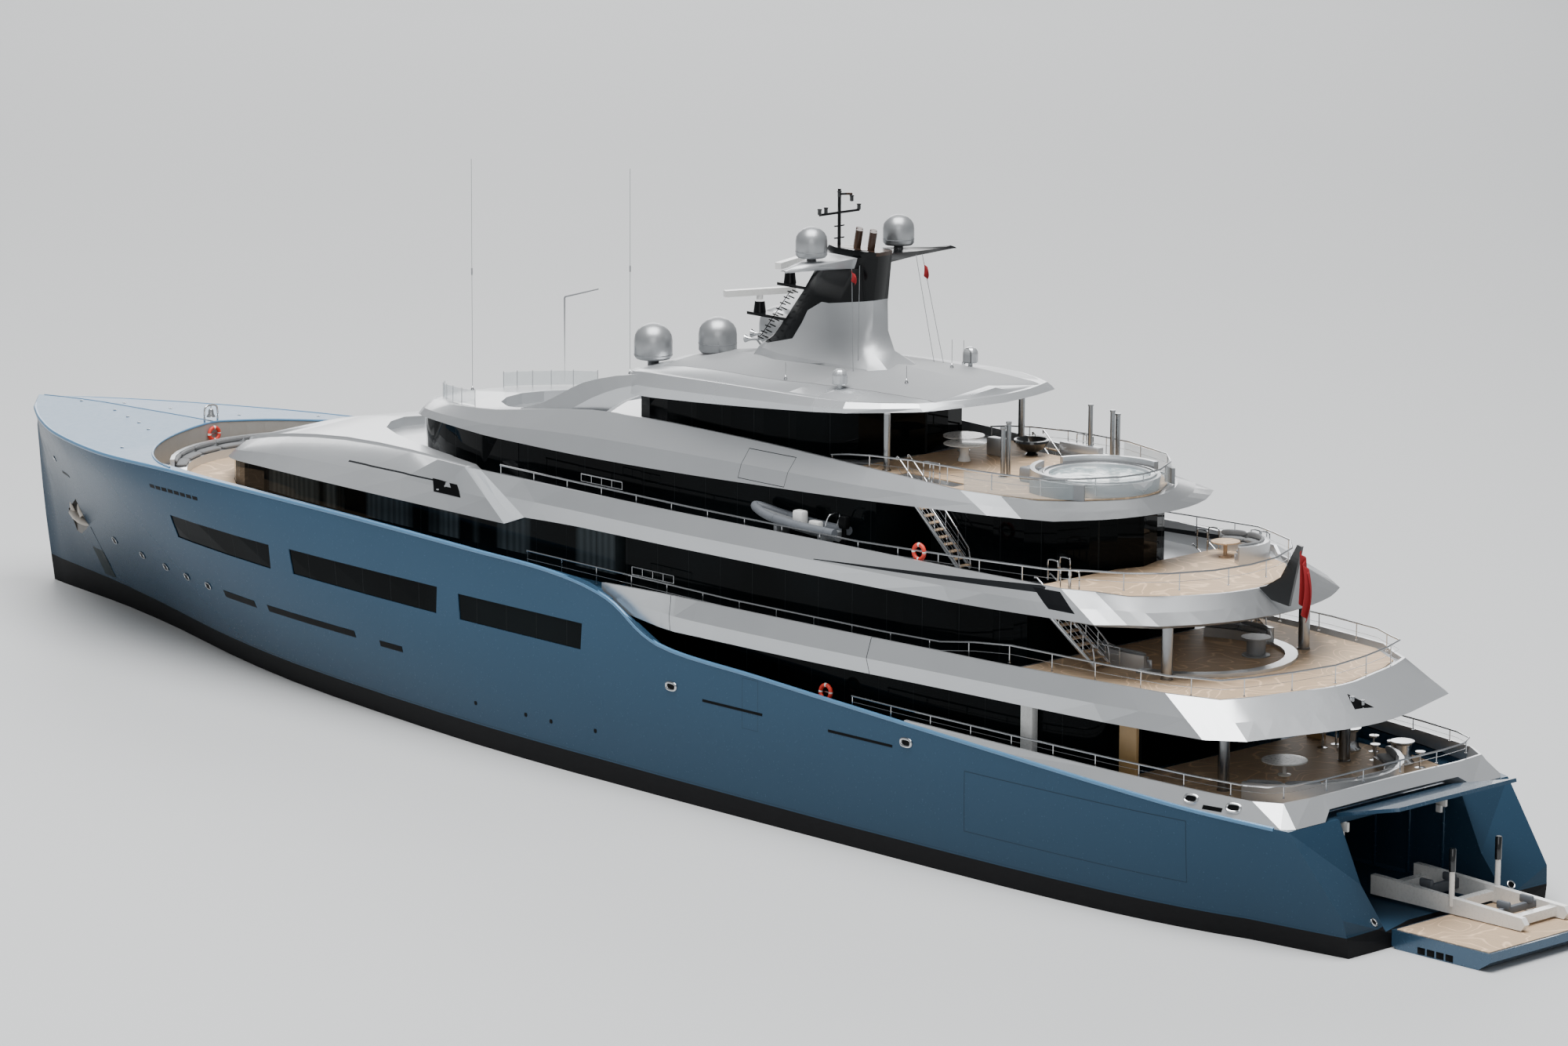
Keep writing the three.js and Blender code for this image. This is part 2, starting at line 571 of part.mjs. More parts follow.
const UPPER_ROWS = [
  { x: -4.0, y: 0, z: 8.87, lx: -4.0, ly: 0, lz: 8.28, out: 0, deck: UPPER_SIDE },
  { x: -4.0, y: 7.6, z: 8.87, lx: -4.0, ly: 7.6, lz: 8.28, out: 0, deck: UPPER_SIDE, corner: true },
  { x: -4.0, y: 8.14, z: 9.24, lx: -4.0, ly: 8.14, lz: 8.28, out: 0, deck: UPPER_SIDE, corner: true },
  { x: -8.0, y: 8.16, z: 9.36, lx: -8.0, ly: 8.18, lz: 7.78, out: 0.02, deck: UPPER_SIDE },
  { x: -10.5, y: 8.2, z: 9.4, lx: -10.5, ly: 8.28, lz: 7.78, out: 0.2, deck: UPPER_SIDE },
  { x: -18, y: 8.2, z: 9.5, lx: -18, ly: 8.28, lz: 7.86, out: 0.26, deck: UPPER_SIDE },
  { x: -24, y: 8.12, z: 9.58, lx: -24, ly: 8.24, lz: 7.98, out: 0.22, deck: UPPER_SIDE },
  { x: -28.6, y: 8.0, z: 9.62, lx: -28.6, ly: 8.18, lz: 8.05, out: 0.16, deck: UPPER_SIDE, corner: true },
  { x: -29.6, y: 7.96, z: 9.63, lx: -29.7, ly: 8.15, lz: 8.06, out: 0.14, deck: UPPER_AFT, corner: true },
  { x: -34, y: 7.68, z: 9.7, lx: -35.3, ly: 7.92, lz: 8.1, out: 0.08, deck: UPPER_AFT },
  { x: -38.1, y: 7.1, z: 9.7, lx: -40.6, ly: 7.5, lz: 8.2, out: 0, deck: UPPER_AFT, corner: true },
  { x: -39.25, y: 6.4, z: 9.62, lx: -41.7, ly: 6.9, lz: 8.24, out: 0, deck: UPPER_AFT, corner: true },
  { x: -40.17, y: 5.95, z: 9.58, lx: -42.2, ly: 6.5, lz: 8.24, out: 0, deck: UPPER_AFT, corner: true },
  { x: -40.8, y: 4.45, z: 9.58, lx: -42.75, ly: 4.6, lz: 8.24, out: 0, deck: UPPER_AFT },
  { x: -41.3, y: 2.5, z: 9.58, lx: -43.35, ly: 2.6, lz: 8.24, out: 0, deck: UPPER_AFT },
  { x: -41.7, y: 1.0, z: 9.58, lx: -43.65, ly: 1.0, lz: 8.24, out: 0, deck: UPPER_AFT },
  { x: -41.78, y: 0, z: 9.58, lx: -43.72, ly: 0, lz: 8.24, out: 0, deck: UPPER_AFT },
];
const mainPillar = pillar(-38.6, 3.9, MAIN_DECK, MAIN_CEILING + 0.3, 0.24);
const upperDeck = deckShell(UPPER_ROWS, () => MAIN_CEILING, () => 0);
node('upper_deck', join(upperDeck, mainPillar, mirrored(mainPillar)), PAINT.silver);

const BRIDGE_ROWS = [
  { x: 29.5, y: 0, z: 10.38, lx: 30.3, ly: 0, lz: 9.75, out: 0, deck: 10.5 },
  { x: 29.05, y: 1.8, z: 10.48, lx: 29.9, ly: 2.1, lz: 9.8, out: 0.06, deck: 10.6 },
  { x: 27.85, y: 3.25, z: 10.78, lx: 28.55, ly: 3.85, lz: 9.95, out: 0.1, deck: 10.95 },
  { x: 25.7, y: 4.25, z: 11.3, lx: 26.0, ly: 5.4, lz: 10.3, out: 0.15, deck: 11.45 },
  { x: 22.6, y: 4.85, z: 11.9, lx: 22.8, ly: 6.55, lz: 10.62, out: 0.18, deck: 12.05 },
  { x: 18, y: 5.1, z: 12.4, lx: 17.8, ly: 7.1, lz: 10.72, out: 0.16, deck: 12.55 },
  { x: 12.5, y: 5.6, z: 12.65, lx: 11.5, ly: 7.15, lz: 10.68, out: 0.12, deck: 12.75 },
  { x: 7.4, y: 6.55, z: 12.78, lx: 3.9, ly: 7.15, lz: 10.66, out: 0, deck: 12.82, corner: true },
  { x: 5.8, y: 6.9, z: 12.9, lx: 2.3, ly: 7.3, lz: 11.22, out: 0, deck: BRIDGE_DECK, corner: true },
  { x: -0.5, y: 7.25, z: 13.0, lx: -1.5, ly: 7.5, lz: 11.4, out: 0.1, deck: BRIDGE_DECK },
  { x: -7.8, y: 7.45, z: 13.06, lx: -7.8, ly: 7.72, lz: 11.5, out: 0.18, deck: BRIDGE_DECK },
  { x: -17, y: 7.5, z: 13.18, lx: -17, ly: 7.8, lz: 11.64, out: 0.2, deck: BRIDGE_DECK },
  { x: -25, y: 7.4, z: 13.2, lx: -26, ly: 7.78, lz: 11.8, out: 0.12, deck: BRIDGE_DECK },
  { x: -28.9, y: 7.16, z: 13.2, lx: -30.4, ly: 7.66, lz: 11.94, out: 0.06,
    deck: BRIDGE_DECK, corner: true },
  { x: -29.7, y: 7.1, z: 13.19, lx: -31.4, ly: 7.62, lz: 11.98, out: 0.04, deck: BRIDGE_AFT, corner: true },
  { x: -31.8, y: 6.9, z: 13.16, lx: -34.3, ly: 7.48, lz: 12.08, out: 0, deck: BRIDGE_AFT, corner: true },
  { x: -32.9, y: 5.95, z: 13.06, lx: -35.4, ly: 6.6, lz: 12.12, out: 0, deck: BRIDGE_AFT, corner: true },
  { x: -34.3, y: 5.4, z: 13.0, lx: -36.5, ly: 5.8, lz: 12.12, out: 0, deck: BRIDGE_AFT, corner: true },
  { x: -35.6, y: 3.95, z: 13.0, lx: -37.45, ly: 4.1, lz: 12.12, out: 0, deck: BRIDGE_AFT },
  { x: -36.5, y: 2.1, z: 13.0, lx: -38.05, ly: 2.2, lz: 12.12, out: 0, deck: BRIDGE_AFT },
  { x: -36.8, y: 0.9, z: 13.0, lx: -38.2, ly: 0.9, lz: 12.12, out: 0, deck: BRIDGE_AFT },
  { x: -36.9, y: 0, z: 13.0, lx: -38.28, ly: 0, lz: 12.12, out: 0, deck: BRIDGE_AFT },
];
const bridgeCrown = (x) => (x > 8 ? Math.min(0.3, (x - 8) * 0.1) * Math.min(1, (30 - x) / 6) : 0);
const wheelWell = prism(wholeOutline([[19.5, 0], [19.2, 1.1], [18, 2.4], [16.2, 3.3], [14, 4.1],
  [11, 4.9], [7.3, 5.85], [4.6, 6.4], [4.6, 0]]), BRIDGE_DECK, 15);
const upperPillar = pillar(-35.7, 4.4, UPPER_AFT, underBridge(-35.7) + 0.2, 0.24);
const bridgeDeck = cut(deckShell(BRIDGE_ROWS, underBridge, bridgeCrown), wheelWell,
  ...stairwells(STAIRS[0]));
node('bridge_deck', join(bridgeDeck, upperPillar, mirrored(upperPillar)), PAINT.silver);

const SUN_ROWS = [
  { x: 16.35, y: 0, z: 14.24, lx: 17.0, ly: 0, lz: 13.5, out: 0, deck: 14.32 },
  { x: 15.8, y: 1.2, z: 14.36, lx: 16.4, ly: 1.5, lz: 13.58, out: 0.05, deck: 14.44 },
  { x: 14.3, y: 2.45, z: 14.58, lx: 14.8, ly: 3.0, lz: 13.85, out: 0.1, deck: 14.64 },
  { x: 11.3, y: 3.8, z: 14.9, lx: 11.7, ly: 4.55, lz: 14.15, out: 0.14, deck: 14.94 },
  { x: 7.2, y: 4.75, z: 15.35, lx: 7.2, ly: 5.65, lz: 14.26, out: 0.18, deck: 15.3 },
  { x: 4, y: 5.1, z: 15.85, lx: 4, ly: 6.05, lz: 14.34, out: 0.2, deck: 15.8 },
  { x: 0, y: 5.3, z: 16.38, lx: 0, ly: 6.28, lz: 14.4, out: 0.2, deck: SUN_DECK },
  { x: -4, y: 5.38, z: 16.55, lx: -4, ly: 6.4, lz: 14.5, out: 0.2, deck: SUN_DECK },
  { x: -8, y: 5.4, z: 16.57, lx: -8, ly: 6.45, lz: 14.63, out: 0.2, deck: SUN_DECK },
  { x: -13, y: 5.42, z: 16.5, lx: -13, ly: 6.45, lz: 14.83, out: 0.18, deck: SUN_DECK },
  { x: -18.5, y: 5.42, z: 16.32, lx: -18.8, ly: 6.35, lz: 15.06, out: 0.14, deck: SUN_DECK },
  { x: -24.2, y: 5.35, z: 16.12, lx: -26.5, ly: 6.05, lz: 15.45, out: 0, deck: SUN_DECK, corner: true },
  { x: -26.2, y: 4.85, z: 16.08, lx: -28.2, ly: 5.65, lz: 15.5, out: 0, deck: SUN_DECK, corner: true },
  { x: -27.9, y: 4.4, z: 16.06, lx: -29.6, ly: 5.15, lz: 15.52, out: 0, deck: SUN_DECK, corner: true },
  { x: -29.4, y: 3.0, z: 16.06, lx: -30.8, ly: 3.3, lz: 15.52, out: 0, deck: SUN_DECK },
  { x: -30.4, y: 1.3, z: 16.06, lx: -31.4, ly: 1.5, lz: 15.52, out: 0, deck: SUN_DECK },
  { x: -30.6, y: 0, z: 16.06, lx: -31.55, ly: 0, lz: 15.52, out: 0, deck: SUN_DECK },
];
const sunCrown = (x) => (x > 7 ? Math.min(0.1, (x - 7) * 0.05) * Math.min(1, (17 - x) / 3) : 0);
const foreWell = prism(wholeOutline([[10.7, 0], [10.45, 1.2], [9.5, 2.4], [7.9, 3.35], [5, 3.95],
  [2.4, 4.2], [2.4, 0]]), SUN_FORE, 17);
const sunDeck = cut(deckShell(SUN_ROWS, underSun, sunCrown), foreWell, ...stairwells(STAIRS[1]));
node('sun_deck', sunDeck, PAINT.silver);

const HARDTOP_ROWS = [
  { x: -0.9, y: 0, z: 18.25, lx: -0.5, ly: 0, lz: 17.78, out: 0, deck: 18.3 },
  { x: -0.9, y: 2.3, z: 18.25, lx: -0.5, ly: 2.5, lz: 17.74, out: 0.02, deck: 18.3 },
  { x: -1.5, y: 4.0, z: 18.3, lx: -1.2, ly: 4.25, lz: 17.5, out: 0.05, deck: 18.35 },
  { x: -3.2, y: 4.9, z: 18.55, lx: -3.0, ly: 5.15, lz: 17.48, out: 0.15, deck: 18.6 },
  { x: -6, y: 5.35, z: 18.75, lx: -6, ly: 5.65, lz: 17.72, out: 0.2, deck: 18.82 },
  { x: -9.5, y: 5.65, z: 18.92, lx: -9.5, ly: 5.9, lz: 18.0, out: 0.24, deck: 19.0 },
  { x: -13.7, y: 5.8, z: 19.05, lx: -13.7, ly: 6.0, lz: 18.35, out: 0.24, deck: 19.12 },
  { x: -17.3, y: 5.6, z: 19.14, lx: -17.5, ly: 5.8, lz: 18.68, out: 0.18, deck: 19.2 },
  { x: -20.35, y: 4.1, z: 19.28, lx: -20.75, ly: 4.2, lz: 18.98, out: 0.04, deck: 19.3, corner: true },
  { x: -21.1, y: 2.2, z: 19.3, lx: -21.4, ly: 2.2, lz: 19.02, out: 0.02, deck: 19.33 },
  { x: -21.4, y: 0, z: 19.3, lx: -21.7, ly: 0, lz: 19.02, out: 0, deck: 19.33 },
];
const hardtopCrown = (x) => 0.2 + 0.62 * Math.sin(Math.PI * Math.min(1, Math.max(0, (-x - 1) / 21)));

// Broad leg of the hardtop sweeping forward and down to the sun deck: its
// upper edge (x, z), its lower edge (bx, bz) and its half breadth.
const LEG_ROWS = [
  { x: 5.6, z: 15.62, bx: 4.9, bz: 15.1, y: 4.72 },
  { x: 3.9, z: 16.12, bx: 2.4, bz: 15.2, y: 4.86 },
  { x: 2.5, z: 16.76, bx: 0.6, bz: 15.6, y: 4.94 },
  { x: 0.9, z: 17.5, bx: -0.7, bz: 16.3, y: 4.96 },
  { x: -1.4, z: 18.12, bx: -2.0, bz: 17.05, y: 4.94 },
  { x: -3.4, z: 18.45, bx: -3.6, bz: 17.62, y: 4.9 },
];
const legWith = (more) => loft(filled(LEG_ROWS, 2).map((row) => {
  const [ux, uz] = unit(row.x - row.bx, row.z - row.bz);
  const [x, z] = [row.x + ux * more, row.z + uz * more];
  const [bx, bz] = [row.bx - ux * more, row.bz - uz * more];
  const outer = row.y + more;
  const inner = row.y - 0.42 - more;
  return [[bx, outer, bz], [(x + bx) / 2, outer + 0.1, (z + bz) / 2], [x, outer - 0.14, z],
    [x, inner, z], [bx, inner, bz]];
}));
const leg = cut(legWith(0), moved(sunDeck, 0, 0, GAP));
const sunPillar = pillar(-18.6, 4.3, SUN_DECK, underTop(-18.6) + 0.1, 0.14);
const hardtopShell = deckShell(HARDTOP_ROWS, underTop, hardtopCrown, { deep: 0.7 });
const hardtop = join(hardtopShell, leg, mirrored(leg), sunPillar, mirrored(sunPillar));

// Silver bulwark round the after end of the main deck: outer foot, upper edge
// and inner foot at each place, from the port side to the centreline.
const AFT_ROWS = [
  { fx: -24, fy: 8.56, fz: 6.23, x: -24, y: 8.44, z: 6.3, ix: -24, iy: 8.3, iz: 6.23 },
  { fx: -30, fy: 8.5, fz: 5.92, x: -30, y: 8.28, z: 6.2, ix: -30, iy: 8.22, iz: 5.92 },
  { fx: -36, fy: 8.31, fz: 5.57, x: -36, y: 8.0, z: 6.1, ix: -36, iy: 8.02, iz: 5.57 },
  { fx: -40, fy: 8.01, fz: 5.33, x: -40, y: 7.62, z: 6.02, ix: -40, iy: 7.72, iz: 5.33 },
  { fx: -42.6, fy: 7.66, fz: 5.2, x: -42.1, y: 7.34, z: 5.97, ix: -42.5, iy: 7.34, iz: 5.18 },
  { fx: -44.7, fy: 7.12, fz: 5.02, x: -43.1, y: 7.1, z: 5.95, ix: -42.9, iy: 6.8, iz: 5.02 },
  { fx: -45.08, fy: 6.6, fz: 5.02, x: -44.2, y: 6.4, z: 5.93, ix: -43.8, iy: 6.1, iz: 5.02 },
  { fx: -45.08, fy: 4.75, fz: 5.02, x: -44.35, y: 4.9, z: 5.92, ix: -43.95, iy: 4.8, iz: 5.02 },
  { fx: -44.78, fy: 4.15, fz: 5.42, x: -44.35, y: 4.1, z: 5.92, ix: -43.95, iy: 4.1, iz: 5.02 },
  { fx: -44.72, fy: 2, fz: 5.42, x: -44.3, y: 2, z: 5.92, ix: -43.95, iy: 2, iz: 5.02 },
  { fx: -44.7, fy: 0, fz: 5.42, x: -44.28, y: 0, z: 5.92, ix: -43.95, iy: 0, iz: 5.02 },
];
const aftSections = AFT_ROWS.map((row) => {
  const [ux, uy] = unit(row.ix - row.fx, row.iy - row.fy);
  return [[row.fx, row.fy, row.fz], [row.x, row.y, row.z],
    [row.x + ux * 0.12, row.y + uy * 0.12, row.z], [row.ix, row.iy, row.iz]];
});
const aftMirror = aftSections.slice(0, -1).reverse()
  .map((section) => section.map(([x, y, z]) => [x, -y, z]));
node('stern_bulwark', cut(loft([...aftSections, ...aftMirror]), moved(hull, 0, 0, GAP)),
  PAINT.silver);

// Half outlines of the glazed walls from forward to aft, with the heights of
// foot and head; a corner stays sharp.
const HOUSES = [
  { name: 'main_deckhouse', foot: MAIN_DECK,
    head: () => MAIN_CEILING, floor: hull, ceiling: upperDeck, outline: [
    { x: -6.2, y: 0 }, { x: -6.2, y: 6.9, corner: true }, { x: -14, y: 7.15 }, { x: -24, y: 7.0 },
    { x: -31, y: 6.5 }, { x: -33.4, y: 5.7, corner: true }, { x: -34, y: 0 }] },
  { name: 'upper_deckhouse_fore', foot: UPPER_WELL,
    head: underBridge, floor: hull, ceiling: bridgeDeck, outline: [
    { x: 30.0, y: 0 }, { x: 29.6, y: 2.0 }, { x: 28.3, y: 3.68 }, { x: 25.6, y: 5.2 },
    { x: 20.5, y: 6.15 }, { x: 12, y: 6.6 }, { x: 4.2, y: 6.7 }, { x: -3.4, y: 6.75, corner: true },
    { x: -3.4, y: 0 }] },
  { name: 'upper_deckhouse_aft', foot: UPPER_SIDE,
    head: underBridge, floor: upperDeck, ceiling: bridgeDeck, outline: [
    { x: -4.1, y: 0 }, { x: -4.1, y: 6.75, corner: true }, { x: -12, y: 6.8 }, { x: -22, y: 6.6 },
    { x: -27.0, y: 6.1 }, { x: -28.4, y: 5.4, corner: true }, { x: -28.4, y: 0 }] },
  { name: 'wheelhouse', foot: BRIDGE_DECK, head: underSun, floor: bridgeDeck,
    ceiling: sunDeck, outline: [
    { x: 16.55, y: 0 }, { x: 16.0, y: 1.4 }, { x: 14.4, y: 2.8 }, { x: 11.7, y: 4.05 },
    { x: 8, y: 5.0 }, { x: 4.9, y: 5.35, corner: true }, { x: 4.9, y: 0 }] },
  { name: 'bridge_deckhouse', foot: BRIDGE_DECK,
    head: underSun, floor: bridgeDeck, ceiling: sunDeck, outline: [
    { x: 4.86, y: 0 }, { x: 4.86, y: 5.35, corner: true }, { x: -4, y: 5.7 }, { x: -13, y: 5.75 },
    { x: -19.2, y: 5.55, corner: true }, { x: -19.8, y: 3.8, corner: true }, { x: -23, y: 3.85 },
    { x: -26.5, y: 3.7 }, { x: -29.2, y: 2.4 }, { x: -30.2, y: 0 }] },
  { name: 'sun_deckhouse', foot: SUN_DECK, head: underTop, floor: sunDeck,
    ceiling: hardtopShell, outline: [
    { x: -0.95, y: 0 }, { x: -1.1, y: 2.2 }, { x: -1.9, y: 3.75 }, { x: -4.5, y: 4.5 },
    { x: -9, y: 4.75 }, { x: -13, y: 4.5 }, { x: -15.8, y: 3.3 }, { x: -16.8, y: 0 }] },
];
const footprints = {};
for (const house of HOUSES) {
  const half = filled(house.outline, 2).map((row) => [row.x, row.y]);
  footprints[house.name] = prism(wholeOutline(inset(half, -0.012)), house.foot - 1, house.foot + 1);
  const wall = ringWall(half, house.foot - 0.05, (x) => house.head(x) + 0.05, GLASS);
  const around = [moved(house.floor, 0, 0, GAP), moved(house.ceiling, 0, 0, -GAP)];
  if (house.ceiling === hardtopShell) around.push(legWith(GAP), mirrored(legWith(GAP)));
  node(house.name, cut(wall, ...around), PAINT.glass);
}

// Sections of the mast from its spreading foot to the head.
const MAST_ROWS = [
  { z: 19.0, fore: -5.6, aft: -16.4, half: 2.3 },
  { z: 19.75, fore: -6.1, aft: -15.2, half: 1.7 },
  { z: 20.3, fore: -6.9, aft: -14.1, half: 1.15 },
  { z: 21.2, fore: -7.7, aft: -13.8, half: 0.92 },
  { z: 22.5, fore: -8.8, aft: -13.8, half: 0.84 },
  { z: 24.9, fore: -10.6, aft: -14.1, half: 0.78 },
];
const mast = loft(MAST_ROWS.map((row) => {
  const [length, centre] = [row.fore - row.aft, (row.fore + row.aft) / 2];
  const shape = [[0.5, 0], [0.42, 0.55], [0.2, 0.95], [-0.15, 1], [-0.42, 0.85], [-0.5, 0.55]];
  const half = shape.map(([u, v]) => [centre + u * length, v * row.half, row.z]);
  return [...half, ...half.slice(1).reverse().map(([x, y, z]) => [x, -y, z])];
}));
const topFloor = moved(hardtopShell, 0, 0, GAP);

// Swept wing across the head of the mast, one table row per port section.
const WING_ROWS = [
  { y: 0.3, fore: -10.5, aft: -13.4, low: 24.05, high: 24.7 },
  { y: 1.2, fore: -10.9, aft: -13.2, low: 24.12, high: 24.64 },
  { y: 3.2, fore: -11.7, aft: -13.1, low: 24.24, high: 24.54 },
  { y: 5.35, fore: -12.95, aft: -13.35, low: 24.38, high: 24.46 },
];
const wingHalf = WING_ROWS.map((row) => [[row.fore, row.y, row.low + 0.12],
  [row.fore + 0.15, row.y, (row.low + row.high) / 2], [row.fore - 0.3, row.y, row.high],
  [row.aft, row.y, row.high - 0.05], [row.aft + 0.2, row.y, row.low]]);
const wing = loft([...wingHalf.slice().reverse(),
  ...wingHalf.map((section) => section.map(([x, y, z]) => [x, -y, z]))]);

// Domes: place of the foot, radius and height over all.
const DOMES = [
  { name: 'dome_fore', x: -1.15, y: 2.3, z: 18.34, radius: 0.9, height: 1.95 },
  { name: 'dome_middle', x: -3.45, y: 0.35, z: 18.7, radius: 0.9, height: 1.95 },
  { name: 'dome_after', x: -3.6, y: -3.4, z: 18.8, radius: 0.9, height: 1.95 },
  { name: 'dome_wing_port', x: -12.15, y: 2.77, z: 24.5, radius: 0.72, height: 1.62 },
  { name: 'dome_wing_starboard', x: -12.15, y: -2.77, z: 24.5, radius: 0.72, height: 1.62 },
];

/** Dome on a short collar, its foot sunk a little below z. */
function domeAt(x, y, z, r, h) {
  const profile = [[0, -0.25 * r], [0.3 * r, -0.25 * r], [0.3 * r, 0.12 * h], [0.9 * r, 0.14 * h],
    [r, 0.2 * h], [r, h - r * 0.92]];
  for (let i = 1; i <= 5; i += 1) {
    const angle = i / 5 * Math.PI / 2;
    profile.push([r * Math.cos(angle), h - r * 0.92 + r * 0.92 * Math.sin(angle)]);
  }
  profile[profile.length - 1][0] = 0;
  return moved(turned(profile, 16), x, y, z);
}
for (const row of DOMES) {
  const bed = row.z > 24 ? moved(wing, 0, 0, GAP) : topFloor;
  node(row.name, cut(domeAt(row.x, row.y, row.z, row.radius, row.height), bed), PAINT.silver);
}
const smallDome = domeAt(-15.45, 4.17, 19.4, 0.35, 0.85);
node('hardtop', join(hardtop, smallDome, mirrored(smallDome)), PAINT.silver);

// Radar scanners on brackets ahead of the mast, and the masthead pole.
const RADARS = [
  { name: 'radar_lower', x: -5.9, z: 21.9, span: 3.5, turn: 1.2, foot: 21.15 },
  { name: 'radar_upper', x: -7.9, z: 23.35, span: 2.4, turn: 1.9, foot: 22.75 },
];
const brackets = [];
for (const row of RADARS) {
  brackets.push(block(row.x - 3.5, row.x + 0.5, -0.35, 0.35, row.foot - 0.14, row.foot),
    moved(turned([[0, -0.02], [0.3, -0.02], [0.24, 0.5], [0, 0.5]], 12), row.x, 0, row.foot));
  const beam = block(-0.16, 0.16, -row.span / 2, row.span / 2, 0.06, 0.36);
  beam.rotateZ(row.turn - Math.PI / 2);
  const hub = turned([[0, -0.14], [0.16, -0.14], [0.16, 0.1], [0, 0.1]], 12);
  node(row.name, moved(join(beam, hub), row.x, 0, row.foot + 0.5 + PLAY + 0.14), PAINT.white);
}
const pole = join(
  bar([-11.1, 0, 24.5], [-11.1, 0, 27.45], 0.08),
  bar([-11.1, -1.25, 26.35], [-11.1, 1.25, 26.35], 0.06),
  bar([-11.1, 0, 27.2], [-11.9, 0, 27.3], 0.05),
);
const pipes = [-11.95, -12.4, -12.85, -13.3].map((x, i) => bar(
  [x, i % 2 ? 0.22 : -0.22, 24.5], [x - 0.25, i % 2 ? 0.22 : -0.22, 25.75], 0.17, 10));
node('mast', join(cut(mast, topFloor), wing, ...brackets, pole, ...pipes), PAINT.silver);

const TEAK = 0.05;
function teakDeck(name, half, floor, ...holes) {
  const plate = prism(wholeOutline(half), floor + GAP, floor + GAP + TEAK);
  node(name, holes.length ? cut(plate, ...holes) : plate, PAINT.teak);
}

/** Holes round a pair of pillars. */
function postHoles(x, y, radius, floor) {
  const hole = bar([x, y, floor - 0.5], [x, y, floor + 0.5], radius, 12);
  return [hole, mirrored(hole)];
}
teakDeck('main_teak', [[-34.2, 0], [-34.2, 6.9], [-40, 6.9], [-42.4, 6.2], [-43.6, 5.2],
  [-43.7, 0]], MAIN_DECK, ...postHoles(-38.6, 3.9, 0.3, MAIN_DECK));
teakDeck('upper_teak', [[-29.9, 0], [-29.9, 7.6], [-34, 7.35], [-37.8, 6.8], [-39.0, 6.05],
  [-39.8, 5.6], [-40.45, 4.2], [-40.95, 2.4], [-41.4, 0]], UPPER_AFT,
...postHoles(-35.7, 4.4, 0.3, UPPER_AFT));
teakDeck('sun_teak', [[-17.0, 0], [-17.0, 5.0], [-24.0, 4.95], [-26.0, 4.45], [-27.6, 4.0],
  [-29.0, 2.75], [-30.0, 1.1], [-30.2, 0]], SUN_DECK,
...postHoles(-18.6, 4.3, 0.2, SUN_DECK), ...stairwells(STAIRS[1]));
teakDeck('bridge_teak', [[-29.8, 0], [-29.8, 6.85], [-31.5, 6.5], [-32.6, 5.6], [-34.0, 5.05],
  [-35.2, 3.75], [-36.1, 2.0], [-36.5, 0]], BRIDGE_AFT, footprints.bridge_deckhouse);
teakDeck('fore_teak', [...wellHalf.slice(0, 11).map(([x, y]) => [x - 0.15, y * 0.98]),
  [25, 7.9], [16, 8.05], [16, 0]], UPPER_WELL,
  footprints.upper_deckhouse_fore);

/** Upright block along an arc, angles in degrees from the bow direction. */
function arcBlock(x, radius, width, from, to, foot, height, parts = 12) {
  const sections = [];
  for (let i = 0; i <= parts; i += 1) {
    const angle = (from + (to - from) * i / parts) * Math.PI / 180;
    const [c, s] = [Math.cos(angle), Math.sin(angle)];
    const at = (r, z) => [x + r * c, r * s, z];
    sections.push([at(radius, foot), at(radius + width, foot),
      at(radius + width, foot + height), at(radius, foot + height)]);
  }
  return loft(sections);
}
const onMain = MAIN_DECK + TEAK + 2 * GAP;
const onUpper = UPPER_AFT + TEAK + 2 * GAP;
const onBridge = BRIDGE_AFT + TEAK + 2 * GAP;
const onSun = SUN_DECK + TEAK + 2 * GAP;
const onFore = UPPER_WELL + TEAK + 2 * GAP;
const BENCHES = [
  { name: 'main_lounge_bench', x: -38.5, y: 0, r: 4.35, w: 0.85, from: 112, to: 248, foot: onMain,
    seat: 0.42, back: 0.85 },
  { name: 'bridge_bench', x: -31.2, y: -4.2, r: 1.3, w: 0.65, from: 150, to: 320, foot: onBridge,
    seat: 0.42, back: 0.8 },
  { name: 'fore_bench', x: 26.2, y: 0, r: 6.55, w: 0.85, from: -52, to: 52, foot: onFore,
    seat: 0.42, back: 0.85 },
];

/** Hard shell of a curved bench: its seat and the back along the outer side. */
function bench(row) {
  const seat = arcBlock(row.x, row.r, row.w, row.from, row.to, row.foot, row.seat);
  const back = arcBlock(row.x, row.r + row.w - 0.22, 0.22, row.from, row.to,
    row.foot + row.seat - 0.05, row.back - row.seat + 0.05);
  return moved(join(seat, back), 0, row.y, 0);
}
for (const row of BENCHES) node(row.name, bench(row), PAINT.silver);

// Two sofas on the upper deck, linked by the low curb of the dancing floor.
const sofa = bench({ x: -33.2, y: 0, r: 3.6, w: 0.7, from: 55, to: 103, foot: onUpper,
  seat: 0.42, back: 0.72 });
const curb = arcBlock(-33.2, 4.0, 0.55, 100, 260, onUpper, 0.14, 16);
node('upper_lounge_bench', join(sofa, mirrored(sofa), curb), PAINT.silver);

